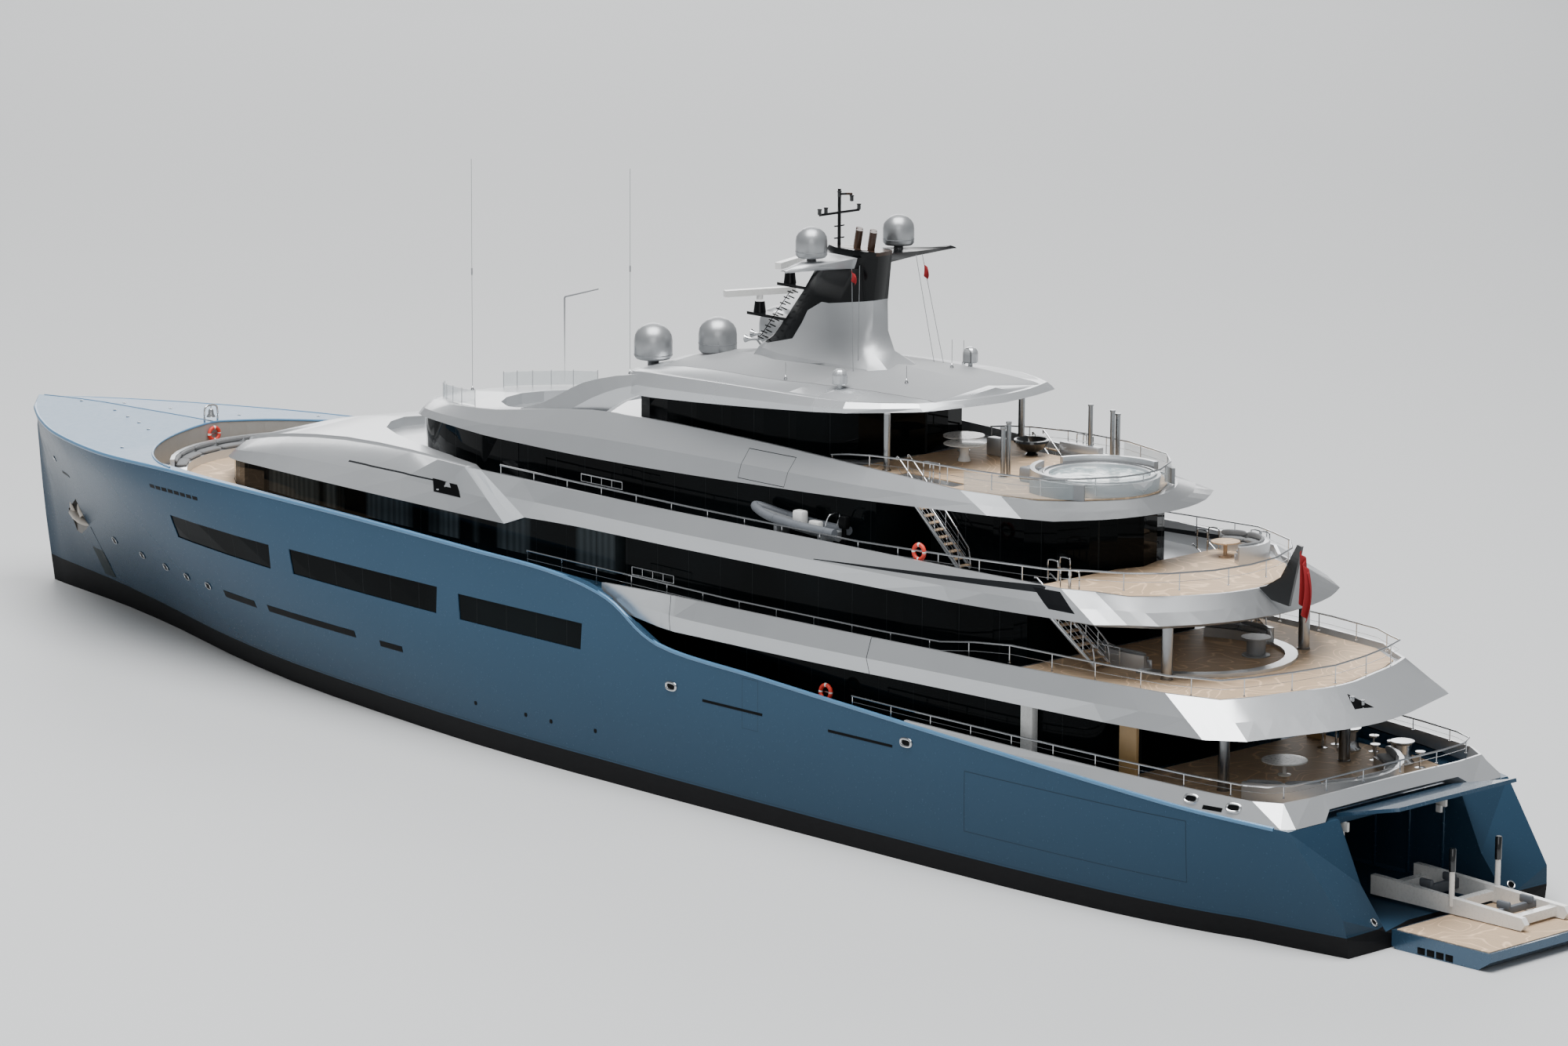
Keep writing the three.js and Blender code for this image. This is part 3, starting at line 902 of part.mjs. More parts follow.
/** Round table: foot, column and top. */
function table(row) {
  const { radius, height, column } = row;
  return moved(turned([[0, 0], [column + 0.2, 0], [column + 0.2, 0.05], [column, 0.09],
    [column, height - 0.08], [radius, height - 0.06], [radius, height], [0, height]], 20),
  row.x, row.y, row.foot);
}
const TABLES = [
  { name: 'main_table', x: -38.6, y: 0, foot: onMain, radius: 1.0, height: 0.7, column: 0.09 },
  { name: 'upper_table', x: -35.2, y: -1.85, foot: onUpper, radius: 0.66, height: 0.84, column: 0.42 },
  { name: 'bridge_table', x: -31.2, y: -4.2, foot: onBridge, radius: 0.65, height: 0.7, column: 0.09 },
  { name: 'sun_table', x: -17.6, y: -1.6, foot: onSun, radius: 0.95, height: 0.72, column: 0.09 },
];
for (const row of TABLES) {
  node(row.name, table(row), PAINT.white);
}
const POOL = { x: -27.5, radius: 2.7, basin: 2.25, height: 0.6 };
const poolShell = cut(turned([[0, 0], [POOL.radius - 0.08, 0], [POOL.radius, POOL.height],
  [0, POOL.height]], 32), turned([[0, 0.15], [POOL.basin, 0.15], [POOL.basin, 1], [0, 1]], 32));
node('sun_pool', moved(poolShell, POOL.x, 0, onSun), PAINT.white);
nodePair('sun_lounge_wall', arcBlock(POOL.x, 2.85, 0.22, 12, 104, onSun, 0.85), PAINT.silver);

/** Flight of steps falling aft. */
function stair(row) {
  const run = (row.x1 - row.x0) / row.steps;
  const rise = (row.head - row.foot) / row.steps;
  const outline = [[row.x1, row.foot]];
  for (let i = 0; i < row.steps; i += 1) {
    outline.push([row.x1 - run * i, row.foot + rise * (i + 1)]);
    outline.push([row.x1 - run * (i + 1), row.foot + rise * (i + 1)]);
  }
  outline.push([row.x0, row.head - rise * 1.3], [row.x1 - run * 1.2, row.foot]);
  return sideShape(outline, row.y0, row.y1);
}
for (const row of STAIRS) nodePair(row.name, stair(row), PAINT.steel);

const platformSide = [[-47.99, 0.8], [-53.25, 0.8], [-53.3, 0.45], [-52.2, -0.28],
  [-49.0, -0.25], [-47.99, 0.12]];
node('swim_platform', sideShape(platformSide, -3.75, 3.75), PAINT.blue);

const DOOR = { x: -44.9, z: 5.22, length: 3.45, thick: 0.16, open: 14 };
const door = block(-DOOR.length, 0.06, -3.78, 3.78, -DOOR.thick, 0);
door.rotateY(DOOR.open * Math.PI / 180);
node('garage_door', moved(door, DOOR.x, 0, DOOR.z), PAINT.blue);

const CRADLE_Y = -1.3;   // the cradle lies to starboard of the centreline
const railSide = [[-43.8, 0.88], [-52, 0.88], [-52.2, 1.15], [-52, 1.42], [-44.4, 1.72],
  [-43.8, 1.72]];
const cradle = join(
  sideShape(railSide, 1.25, 1.55), sideShape(railSide, -1.55, -1.25),
  ...[-51.4, -48, -44.4].map((x) => block(x - 0.2, x + 0.2, -1.4, 1.4, 0.95, 1.35)),
  ...[1.5, -1.5].map((y) => bar([-48.2, y, 1.2], [-48.2, y, 3.6], 0.12, 8)),
);
node('tender_cradle', moved(cradle, 0, CRADLE_Y, 0), PAINT.white);

const staff = sideShape([[-36.98, 13.06], [-37.7, 12.62], [-38.7, 12.5], [-39.35, 15.2],
  [-39.1, 15.25], [-38.2, 13.7], [-37.4, 13.2]], -0.07, 0.07);
node('ensign_staff', staff, PAINT.black);

const BLADES = 5;
const hubShape = turned([[0, -0.35], [0.2, -0.35], [0.28, -0.1], [0.28, 0.2], [0, 0.42]], 3 * BLADES);
hubShape.rotateY(-Math.PI / 2);
const blades = [];
for (let i = 0; i < BLADES; i += 1) {
  const blade = loft([
    [[0.2, -0.14, 0.12], [0.1, -0.16, 0.12], [-0.2, 0.14, 0.12], [-0.1, 0.16, 0.12]],
    [[0.25, -0.4, 0.65], [0.15, -0.45, 0.65], [-0.25, 0.4, 0.65], [-0.15, 0.45, 0.65]],
    [[0.12, -0.28, PROP.radius], [0.04, -0.32, PROP.radius], [-0.12, 0.28, PROP.radius],
      [-0.04, 0.32, PROP.radius]],
  ]);
  blade.rotateX(i / BLADES * Math.PI * 2);
  blades.push(blade);
}
nodePair('propeller', moved(join(hubShape, ...blades), PROP.x, PROP.y, PROP.z), PAINT.bronze);

const rudder = join(loft([
  [[0.6, 0, -1.45], [0.25, 0.16, -1.45], [-1.0, 0.05, -1.45], [-1.0, -0.05, -1.45], [0.25, -0.16, -1.45]],
  [[0.46, 0, -3.9], [0.2, 0.12, -3.9], [-0.75, 0.04, -3.9], [-0.75, -0.04, -3.9], [0.2, -0.12, -3.9]],
]), bar([0, 0, -0.72], [0, 0, -1.7], RUDDER.stock, 10));
nodePair('rudder', moved(rudder, RUDDER.x, RUDDER.y, 0), PAINT.blue);

const fin = join(loft([
  [[0.85, 0, 0.14], [0.3, 0.12, 0.14], [-0.95, 0.04, 0.14], [-0.95, -0.04, 0.14], [0.3, -0.12, 0.14]],
  [[0.55, 0, 1.45], [0.2, 0.08, 1.45], [-0.95, 0.03, 1.45], [-0.95, -0.03, 1.45], [0.2, -0.08, 1.45]],
]), bar([0, 0, -0.2], [0, 0, 0.3], FIN.stock, 10));
fin.rotateX(-(90 + FIN.tilt) * Math.PI / 180);
nodePair('stabiliser', moved(fin, FIN.x, FIN.y, FIN.z), PAINT.blue);

const anchor = join(block(-0.75, 0.75, -0.16, 0.16, -0.3, 0.05),
  block(-0.16, 0.16, -0.12, 0.12, -0.2, 0.95), block(-0.75, -0.5, -0.1, 0.3, -0.3, 0.45),
  block(0.5, 0.75, -0.1, 0.3, -0.3, 0.45));
anchor.rotateY(0.42);
anchor.rotateZ(-0.28);
nodePair('anchor', moved(anchor, 43.9, 2.4, 3.98), PAINT.steel);

export default root;
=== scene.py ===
"""Looks of a motor yacht at one tenth: finishes, rails, soft furnishing and deck gear."""

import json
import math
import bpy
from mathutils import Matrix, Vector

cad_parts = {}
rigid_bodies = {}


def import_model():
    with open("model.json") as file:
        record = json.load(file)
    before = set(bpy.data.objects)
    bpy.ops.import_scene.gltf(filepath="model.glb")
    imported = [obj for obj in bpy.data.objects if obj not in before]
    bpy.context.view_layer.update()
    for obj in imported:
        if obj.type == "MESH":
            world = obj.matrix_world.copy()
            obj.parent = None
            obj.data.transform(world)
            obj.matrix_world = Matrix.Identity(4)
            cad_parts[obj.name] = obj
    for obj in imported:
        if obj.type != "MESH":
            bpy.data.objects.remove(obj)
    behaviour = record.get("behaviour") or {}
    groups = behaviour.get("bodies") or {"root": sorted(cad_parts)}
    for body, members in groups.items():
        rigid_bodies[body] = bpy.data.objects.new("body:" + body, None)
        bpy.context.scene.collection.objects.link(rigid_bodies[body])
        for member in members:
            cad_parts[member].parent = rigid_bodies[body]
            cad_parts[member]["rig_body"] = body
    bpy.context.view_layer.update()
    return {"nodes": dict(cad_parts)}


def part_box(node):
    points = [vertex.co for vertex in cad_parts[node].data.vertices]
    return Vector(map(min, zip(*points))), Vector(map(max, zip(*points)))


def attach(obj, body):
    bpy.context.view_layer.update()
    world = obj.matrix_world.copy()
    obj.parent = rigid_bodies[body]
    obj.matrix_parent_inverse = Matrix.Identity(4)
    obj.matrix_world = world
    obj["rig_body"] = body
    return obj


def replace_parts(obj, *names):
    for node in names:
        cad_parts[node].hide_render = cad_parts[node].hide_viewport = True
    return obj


bl_info = {
    "name": "Motor yacht looks",
    "version": (1, 0, 0),
    "blender": (4, 5, 0),
    "location": "View3D > Sidebar > Yacht",
    "description": "Dresses the packed motor yacht with finishes, rails and deck gear",
    "category": "Object",
}

import bmesh
import bpy
import numpy as np
from mathutils import Matrix, Vector
from mathutils.bvhtree import BVHTree

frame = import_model()

METRE = 0.1          # model metres for one full-size metre
MAIN, UPPER_SIDE, UPPER_AFT = 5.0, 8.86, 9.42
BRIDGE, BRIDGE_AFT, SUN = 12.25, 12.85, 16.0
TEAK = 0.06          # top of the laid deck over the plate below it
SIDES = (1, -1)      # port, starboard
SIDE_NAMES = {"port": 1, "starboard": -1}
WELL = (26.2, 0)     # centre of the round bench in the bow
TUB = (-27.5, 0)     # centre of the tub on the sun deck


# Settings
def length_property(name, description, default, low, high):
    return bpy.props.FloatProperty(name=name, description=description + ", full size",
                                   default=default, min=low, max=high, unit="LENGTH")


def angle_property(name, description, degrees):
    return bpy.props.FloatProperty(name=name, description=description, min=0.0, max=math.pi / 2,
                                   default=math.radians(degrees), subtype="ANGLE")


def paint_property(name, description, colour):
    return bpy.props.FloatVectorProperty(
        name=name, description=description, default=colour, size=3, min=0.0, max=1.0,
        subtype="COLOR")


class YachtSizes(bpy.types.PropertyGroup):
    rail_tube: length_property("Rail tube", "Radius of the hand rails", 0.042, 0.02, 0.08)
    post_tube: length_property("Post tube", "Radius of the rail posts", 0.027, 0.015, 0.06)
    post_step: length_property("Post spacing", "Distance between rail posts", 2.4, 1.0, 4.0)
    pane_width: length_property("Pane width", "Width of one glass pane", 2.1, 1.0, 4.0)
    cushion_height: length_property("Cushion height", "Thickness of the seat cushions",
                                    0.2, 0.1, 0.3)
    crease: angle_property("Crease", "Plating that meets at more than this shows an edge", 11)
    soften: angle_property("Softened edge", "Turned pieces are shaded round up to this", 38)


class YachtColours(bpy.types.PropertyGroup):
    hull: paint_property("Hull", "Metallic blue of the topsides", (0.034, 0.083, 0.142))
    boot: paint_property("Boot top", "Band at the waterline", (0.004, 0.004, 0.0045))
    silver: paint_property("Superstructure", "Metallic silver", (0.56, 0.575, 0.59))
    glass: paint_property("Glass", "Dark glazing", (0.0016, 0.0024, 0.0028))
    teak: paint_property("Teak", "Laid decks", (0.50, 0.36, 0.235))
    fabric: paint_property("Fabric", "Seat cushions", (0.17, 0.175, 0.18))
    rubber: paint_property("Rubber", "Tubes of the rescue boat", (0.11, 0.12, 0.135))
    signal: paint_property("Signal red", "Life rings", (0.60, 0.035, 0.018))


# Materials
def operation(kind, reflected=False):
    """A method of Value that adds one Math node."""
    def method(value, *others):
        values = (*others, value) if reflected else (value, *others)
        return value.finish.maths(kind, *values)
    return method


class Value:
    """A number that varies over a surface; Python maths on it adds Math nodes."""

    def __init__(self, finish, socket):
        self.finish = finish
        self.socket = socket

    __add__ = __radd__ = operation("ADD")
    __mul__ = __rmul__ = operation("MULTIPLY")
    __sub__ = operation("SUBTRACT")
    __rsub__ = operation("SUBTRACT", reflected=True)
    above = operation("GREATER_THAN")
    below = operation("LESS_THAN")
    most = operation("MAXIMUM")
    size = operation("ABSOLUTE")

    def step(self, low, high):
        """0 below low, 1 above high, straight between them."""
        return self.finish.node("ShaderNodeMapRange", {"clamp": True}, {
            "Value": self, "From Min": low, "From Max": high}, "Result")


class Finish:
    """A material: one Principled shader with patterns on object coordinates."""

    def __init__(self, name, **constants):
        self.material = bpy.data.materials.new(name)
        self.material.use_nodes = True
        self.tree = self.material.node_tree
        self.tree.nodes.clear()
        self.shader = self.tree.nodes.new("ShaderNodeBsdfPrincipled")
        for key, value in constants.items():
            self.put(key.replace("_", " ").title().replace("Ior", "IOR"), value)
        out = self.tree.nodes.new("ShaderNodeOutputMaterial")
        self.tree.links.new(self.shader.outputs[0], out.inputs[0])
        self._place = None

    def put(self, name, value):
        """Sets or links a socket of the shader."""
        self._fill(self.shader.inputs[name], value)

    def _fill(self, socket, value):
        if isinstance(value, Value):
            self.tree.links.new(value.socket, socket)
        elif isinstance(value, bpy.types.NodeSocket):
            self.tree.links.new(value, socket)
        elif socket.type == "RGBA" and len(value) == 3:
            socket.default_value = (*value, 1.0)
        else:
            socket.default_value = value

    def node(self, kind, settings, inputs, output=None):
        """Adds a node: its settings first, then the values or links of its sockets."""
        made = self.tree.nodes.new(kind)
        for key, value in settings.items():
            setattr(made, key, value)
        for key, value in inputs.items():
            self._fill(made.inputs[key], value)
        if output is None:
            return made
        socket = made.outputs[output]
        return Value(self, socket) if socket.type == "VALUE" else socket

    def maths(self, operation, *values):
        return self.node("ShaderNodeMath", {"operation": operation},
                         dict(enumerate(values)), 0)

    def place(self):
        """Object coordinates in full-size metres."""
        if self._place is None:
            spot = self.node("ShaderNodeTexCoord", {}, {}, "Object")
            self._place = self.node("ShaderNodeVectorMath", {"operation": "SCALE"},
                                    {0: spot, "Scale": 1 / METRE}, 0)
        return self._place

    def xyz(self):
        split = self.node("ShaderNodeSeparateXYZ", {}, {0: self.place()})
        return [Value(self, output) for output in split.outputs]

    def noise(self, scale, detail=2.0, stretch=(1, 1, 1), distortion=0.0):
        spot = self.node("ShaderNodeVectorMath", {"operation": "MULTIPLY"},
                         {0: self.place(), 1: stretch}, 0)
        return self.node("ShaderNodeTexNoise", {"noise_dimensions": "3D"}, {
            "Vector": spot, "Scale": scale, "Detail": detail, "Distortion": distortion}, 0)

    def blend(self, mask, first, second):
        """Colour going from first to second as the mask goes from 0 to 1."""
        made = self.node("ShaderNodeMix", {"data_type": "RGBA"}, {})
        self._fill(made.inputs["Factor"], mask)
        self._fill(made.inputs[6], first)
        self._fill(made.inputs[7], second)
        return made.outputs[2]

    def relief(self, height, distance, strength=0.5):
        self.put("Normal", self.node("ShaderNodeBump", {}, {
            "Height": height, "Distance": distance * METRE, "Strength": strength}, 0))

    def outline(self, x, z, place, width):
        """1 on the line round a rectangle (x0, x1, z0, z1), else 0."""
        x0, x1, z0, z1 = place
        across = (x - (x0 + x1) / 2).size() - (x1 - x0) / 2
        upright = (z - (z0 + z1) / 2).size() - (z1 - z0) / 2
        return across.most(upright).size().below(width / 2)

    def aft_of(self, x, z, line):
        """1 abaft a slanted line through (x, z) that runs aft by a slope going down."""
        x0, z0, slope = line
        return (x - x0 + (z0 - z) * slope).below(0.0)

    def between(self, x, z, fore, aft):
        """1 between two such lines."""
        return self.aft_of(x, z, fore) * (1 - self.aft_of(x, z, aft))

    def stripes(self, value, step, width):
        """1 on thin lines that repeat at each step, else 0."""
        turn = self.maths("PINGPONG", value, step / 2)
        return turn.below(width / 2)


def tone(colour, factor):
    return tuple(min(1.0, c * factor) for c in colour)


def hull_finish(colours):
    """
    Metallic blue over a dark boot top that rises to the bow, with door seams. Painted
    shade darkens the blue towards the foot, the stern and the bow, where the hull
    reflects dark water, and inside the garage.
    """
    f = Finish("hull_finish", coat_roughness=0.1, specular_ior_level=0.12)
    x, y, z = f.xyz()
    cloud = f.noise(0.12, 2.0, (1, 1, 2))
    fine = f.noise(9.0, 3.0)
    blue = f.blend(cloud, tone(colours.hull, 0.93), tone(colours.hull, 1.07))
    # Painted shade in these three lines: darker blue low down, towards the stern and towards the
    # bow.
    deep = z.step(0.8, 7.5) * 0.6 + x.step(-46.0, 20.0) * 0.4
    blue = f.blend(deep, tone(colours.hull, 0.5), blue)
    blue = f.blend(x.step(20.0, 46.0) * 0.5, blue, tone(colours.hull, 0.3))
    seams = f.outline(x, z, (-40.2, -27.8, 2.05, 4.72), 0.04)
    seams = seams.most(f.outline(x, z, (-14.9, -13.9, 4.2, 6.5), 0.02))
    seams = seams * y.size().above(3.95) * z.above(1.5)
    blue = f.blend(seams, blue, tone(colours.hull, 0.3))
    rise = x.step(-20.0, 48.0) * 0.45 + 0.9
    boot = f.blend(f.noise(2.0, 4.0, (1, 1, 4)), colours.boot, tone(colours.boot, 1.9))
    painted = z.above(rise)
    line = (z - rise - 0.09).size().below(0.03)
    colour = f.blend(painted, boot, f.blend(line, blue, tone(colours.hull, 0.45)))
    # Painted shade: the inside of the garage is painted a darker blue.
    garage = z.above(0.7) * x.below(-38.4) * y.size().below(3.95) * z.below(4.75)
    colour = f.blend(garage, colour, tone(colours.hull, 0.6))
    f.put("Base Color", colour)
    bow = x.step(8.0, 40.0)
    f.put("Metallic", painted * (0.3 - bow * 0.25))
    f.put("Coat Weight", painted * (0.12 - bow * 0.12))
    f.put("Roughness", fine * 0.05 + 0.24 + (1 - painted) * 0.3)
    f.relief(f.noise(1.1, 2.0), 0.004, 0.25)
    return f.material


def silver_finish(colours, name="silver_finish", seams=True):
    """Metallic silver, slightly uneven, with joints, painted highlights and painted shade."""
    f = Finish(name, metallic=0.7, coat_weight=0.3, coat_roughness=0.1)
    x, y, z = f.xyz()
    cloud = f.noise(0.3, 3.0)
    colour = f.blend(cloud, tone(colours.silver, 0.94), tone(colours.silver, 1.05))
    # Besides the joints, this block paints the highlights and the shade below.
    if seams:
        joint = (x + 8.7).size().below(0.02).most((x + 21.6).size().below(0.02))
        joint = joint * z.below(10.0) * y.size().above(7.0)
        joint = joint.most(f.outline(x, z, (-14.2, -11.2, 14.95, 16.2), 0.03) * y.size().above(5.4))
        fore_line = (z - 11.74 - (16.6 - x) * 0.013).size().below(0.035)
        joint = joint.most(fore_line * x.below(16.4) * x.above(9.0) * y.size().above(5.5))
        groove = (z - 12.39 - (-17.46 - x) * 0.048).size() - (-17.46 - x) * 0.010
        joint = joint.most(groove.below(0.015) * x.below(-17.6) * x.above(-31.0)
                           * y.size().above(7.0))

        # Painted highlight: three slanted faces of the plating are painted 1.5 times as light as the
        # silver.
        def lit_facet(fore, aft, out, low, high):
            return f.between(x, z, fore, aft) * y.size().above(out) * z.above(low) * z.below(high)

        bridge_edge, sun_edge = (-32.9, 13.06, 2.66), (-26.2, 16.08, 3.45)
        fore = lit_facet((7.4, 12.78, 1.65), (5.8, 12.9, 2.08), 6.3, 10.62, 12.95)
        bridge = lit_facet((-31.8, 13.16, 2.31), bridge_edge, 5.6, 12.0, 13.3)
        sun = lit_facet((-24.2, 16.12, 3.43), sun_edge, 4.5, 15.3, 16.2)
        colour = f.blend(fore.most(bridge).most(sun), colour, tone(colours.silver, 1.5))
        # Painted shade: the after ends of the bridge and sun decks face down and are painted at 0.55
        # of the silver.
        aft = f.aft_of(x, z, bridge_edge) * z.above(11.0) * z.below(14.0)
        sun_aft_shade = f.aft_of(x, z, sun_edge) * z.above(14.5) * z.below(16.2)
        colour = f.blend(aft.most(sun_aft_shade), colour, tone(colours.silver, 0.55))
        colour = f.blend(joint, colour, (0.02, 0.022, 0.025))
        pane = (x + 31.07 - (z - 13.05) * 1.75).size().below(0.74)
        pane = pane * (z - 12.69).size().below(0.36) * y.size().above(6.8)
        colour = f.blend(pane, colour, (0.006, 0.007, 0.009))
    f.put("Base Color", colour)
    f.put("Roughness", f.noise(6.0, 3.0) * 0.08 + 0.27)
    f.relief(f.noise(0.8, 2.0), 0.004, 0.25)
    return f.material


def hardtop_finish(colours):
    """Metallic silver with a darker non-slip field inside a bright rim."""
    f = Finish("hardtop_finish", coat_roughness=0.1, specular_ior_level=0.3)
    x, y, z = f.xyz()
    cloud = f.noise(0.3, 3.0)
    grit = f.noise(30.0, 2.0)
    reach = y.size() + (-12.0 - x).most(0.0) * 0.115 + (x + 10.0).most(0.0) * 0.115
    top = z.above(18.7) * x.above(-20.65)
    field = (reach - 4.36).below(0.0) * top
    edge = (reach - 4.36).size().below(0.03) * top
    dark = f.blend(grit, tone(colours.silver, 0.40), tone(colours.silver, 0.50))
    colour = f.blend(field, tone(colours.silver, 1.08), dark)
    colour = f.blend(cloud * 0.15, colour, tone(colours.silver, 0.9))
    f.put("Base Color", f.blend(edge, colour, tone(colours.silver, 0.25)))
    f.put("Metallic", 0.7 - field * 0.6)
    f.put("Coat Weight", 0.3 - field * 0.3)
    f.put("Roughness", field * 0.3 + cloud * 0.06 + 0.25)
    f.relief(f.noise(0.8, 2.0), 0.004, 0.25)
    return f.material


def glass_finish(colours, name="glass_finish", curtains=False, pane=2.1):
    """Near-black glazing with thin upright joints and a dim room behind it."""
    f = Finish(name, metallic=0.0, specular_ior_level=0.04)
    x, y, z = f.xyz()
    joints = f.stripes(x, pane, 0.035)
    dim = f.noise(0.16, 1.0, (1, 1, 0.6)).step(0.45, 0.7)
    colour = f.blend(dim, colours.glass, tone(colours.glass, 2.6))
    if curtains:
        folds = f.maths("SINE", x * 15.0 + f.noise(0.5, 1.0, (1, 1, 0.1)) * 9.0) * 0.5 + 0.5
        cloth = f.blend(folds, (0.030, 0.038, 0.042), (0.050, 0.062, 0.068))
        drawn = f.noise(0.42, 1.0, (1, 0.1, 0.02)).step(0.44, 0.50)
        colour = f.blend(drawn * z.above(9.3), colour, cloth)
    colour = f.blend(joints, colour, (0.012, 0.014, 0.015))
    f.put("Base Color", colour)
    f.put("Roughness", joints * 0.3 + 0.035)
    return f.material


def teak_finish(colours):
    """Laid teak with swirling figure: contour lines of a slow noise."""
    f = Finish("teak_finish", metallic=0.0, specular_ior_level=0.35)
    slow = f.noise(0.34, 1.5, (1, 1, 1), 0.5)
    rings = f.maths("PINGPONG", slow * 20.0, 1.0)
    line = 1 - rings.step(0.0, 0.22)
    grain = f.noise(7.0, 4.0, (0.25, 1.6, 1))
    wood = f.blend(grain, tone(colours.teak, 0.8), tone(colours.teak, 1.12))
    wood = f.blend(line * 0.75, wood, tone(colours.teak, 1.75))
    x, y, z = f.xyz()
    wood = f.blend(f.stripes(y, 0.14, 0.012) * 0.35, wood, tone(colours.teak, 0.3))
    f.put("Base Color", wood)
    f.put("Roughness", grain * 0.2 + 0.5)
    f.relief(grain, 0.006, 0.3)
    return f.material


def plain_finish(name, colour, roughness, metallic, scale, spread, bump, **constants):
    """One colour with slight cloudiness, uneven gloss and a faint relief."""
    f = Finish(name, metallic=metallic, **constants)
    cloud = f.noise(scale, 3.0)
    f.put("Base Color", f.blend(cloud, tone(colour, 1 - spread), tone(colour, 1 + spread)))
    f.put("Roughness", f.noise(scale * 5, 2.0) * 0.1 + (roughness - 0.05))
    f.relief(cloud, bump, 0.3)
    return f.material


def fabric_finish(colours):
    """Outdoor cloth: a fine basket weave with soft light and dark places."""
    f = Finish("fabric_finish", metallic=0.0, sheen_weight=0.25, specular_ior_level=0.25)
    x, y, z = f.xyz()
    warp = f.maths("SINE", x * 190.0)
    weft = f.maths("SINE", y * 190.0)
    weave = warp * weft * 0.5 + 0.5
    cloud = f.noise(1.4, 3.0)
    base = f.blend(cloud, tone(colours.fabric, 0.88), tone(colours.fabric, 1.1))
    f.put("Base Color", f.blend(weave * 0.35, base, tone(colours.fabric, 0.6)))
    f.put("Roughness", cloud * 0.1 + 0.82)
    f.relief(weave, 0.006, 0.4)
    return f.material


def mast_finish(colours):
    """Silver below, gloss black above, parted by a swoosh down the fore side, and a painted
    reflection on the port wing.
    """
    f = Finish("mast_finish", coat_roughness=0.06, specular_ior_level=0.18)
    x, y, z = f.xyz()
    cloud = f.noise(0.5, 3.0)
    silver = f.blend(cloud, tone(colours.silver, 0.74), tone(colours.silver, 0.82))
    edge = -7.37 - z.step(19.98, 20.43) * 1.81 - z.step(20.43, 21.8) * 0.76
    edge = edge - z.step(21.8, 22.3) * 0.9
    swoosh = (x - edge).above(0.0) * z.above(19.98)
    head = (z - 22.3 - (-11.3 - x).most(0.0) * 0.15).above(0.0)
    # Painted reflection: the port wing is kept silver, though it is black like the starboard wing.
    wing = y.above(0.95) * z.above(23.9) * z.below(24.75)
    black = head.most(swoosh) * (1 - wing)
    colour = f.blend(black, silver, (0.003, 0.0035, 0.004))
    pipe = z.above(24.72) * x.below(-11.6) * y.size().below(0.5)
    f.put("Base Color", f.blend(pipe, colour, (0.045, 0.026, 0.018)))
    f.put("Metallic", 0.6 - black * 0.55)
    f.put("Coat Weight", 0.1 - black * 0.04)
    f.put("Roughness", cloud * 0.05 + 0.36 - black * 0.16)
    f.relief(cloud, 0.004, 0.2)
    return f.material


def ring_finish(colours):
    """Orange-red life ring with four pale bands, by the piece's own turn value."""
    f = Finish("ring_finish", metallic=0.0)
    turn = f.node("ShaderNodeAttribute", {"attribute_name": "turn"}, {}, "Fac")
    bands = f.maths("PINGPONG", turn, 0.125).below(0.022)
    cloud = f.noise(6.0, 2.0)
    red = f.blend(cloud, tone(colours.signal, 0.9), tone(colours.signal, 1.1))
    f.put("Base Color", f.blend(bands, red, (0.75, 0.74, 0.7)))
    f.put("Roughness", cloud * 0.15 + 0.45)
    return f.material


def dome_finish(colours):
    """Silver radome with a moulded joint round its foot."""
    f = Finish("dome_finish", metallic=0.7, coat_weight=0.3, coat_roughness=0.15)
    cloud = f.noise(1.2, 3.0)
    f.put("Base Color", f.blend(cloud, tone(colours.silver, 0.60), tone(colours.silver, 0.72)))
    f.put("Roughness", cloud * 0.08 + 0.34)
    f.relief(f.noise(5.0, 2.0), 0.003, 0.25)
    return f.material


def water_finish():
    """Clear bubbling water over pale tiles."""
    f = Finish("water_finish", metallic=0.0, specular_ior_level=0.6, coat_weight=0.5)
    foam = f.noise(1.7, 5.0, (1, 1, 1), 1.2)
    x, y, z = f.xyz()
    tiles = f.stripes(x, 0.3, 0.02).most(f.stripes(y, 0.3, 0.02))
    deep = f.blend(tiles * 0.4, (0.38, 0.47, 0.49), (0.6, 0.66, 0.67))
    f.put("Base Color", f.blend(foam.step(0.48, 0.62), deep, (0.86, 0.89, 0.89)))
    f.put("Roughness", foam * 0.15 + 0.05)
    f.relief(foam, 0.05, 0.6)
    return f.material


FINISHES = {}


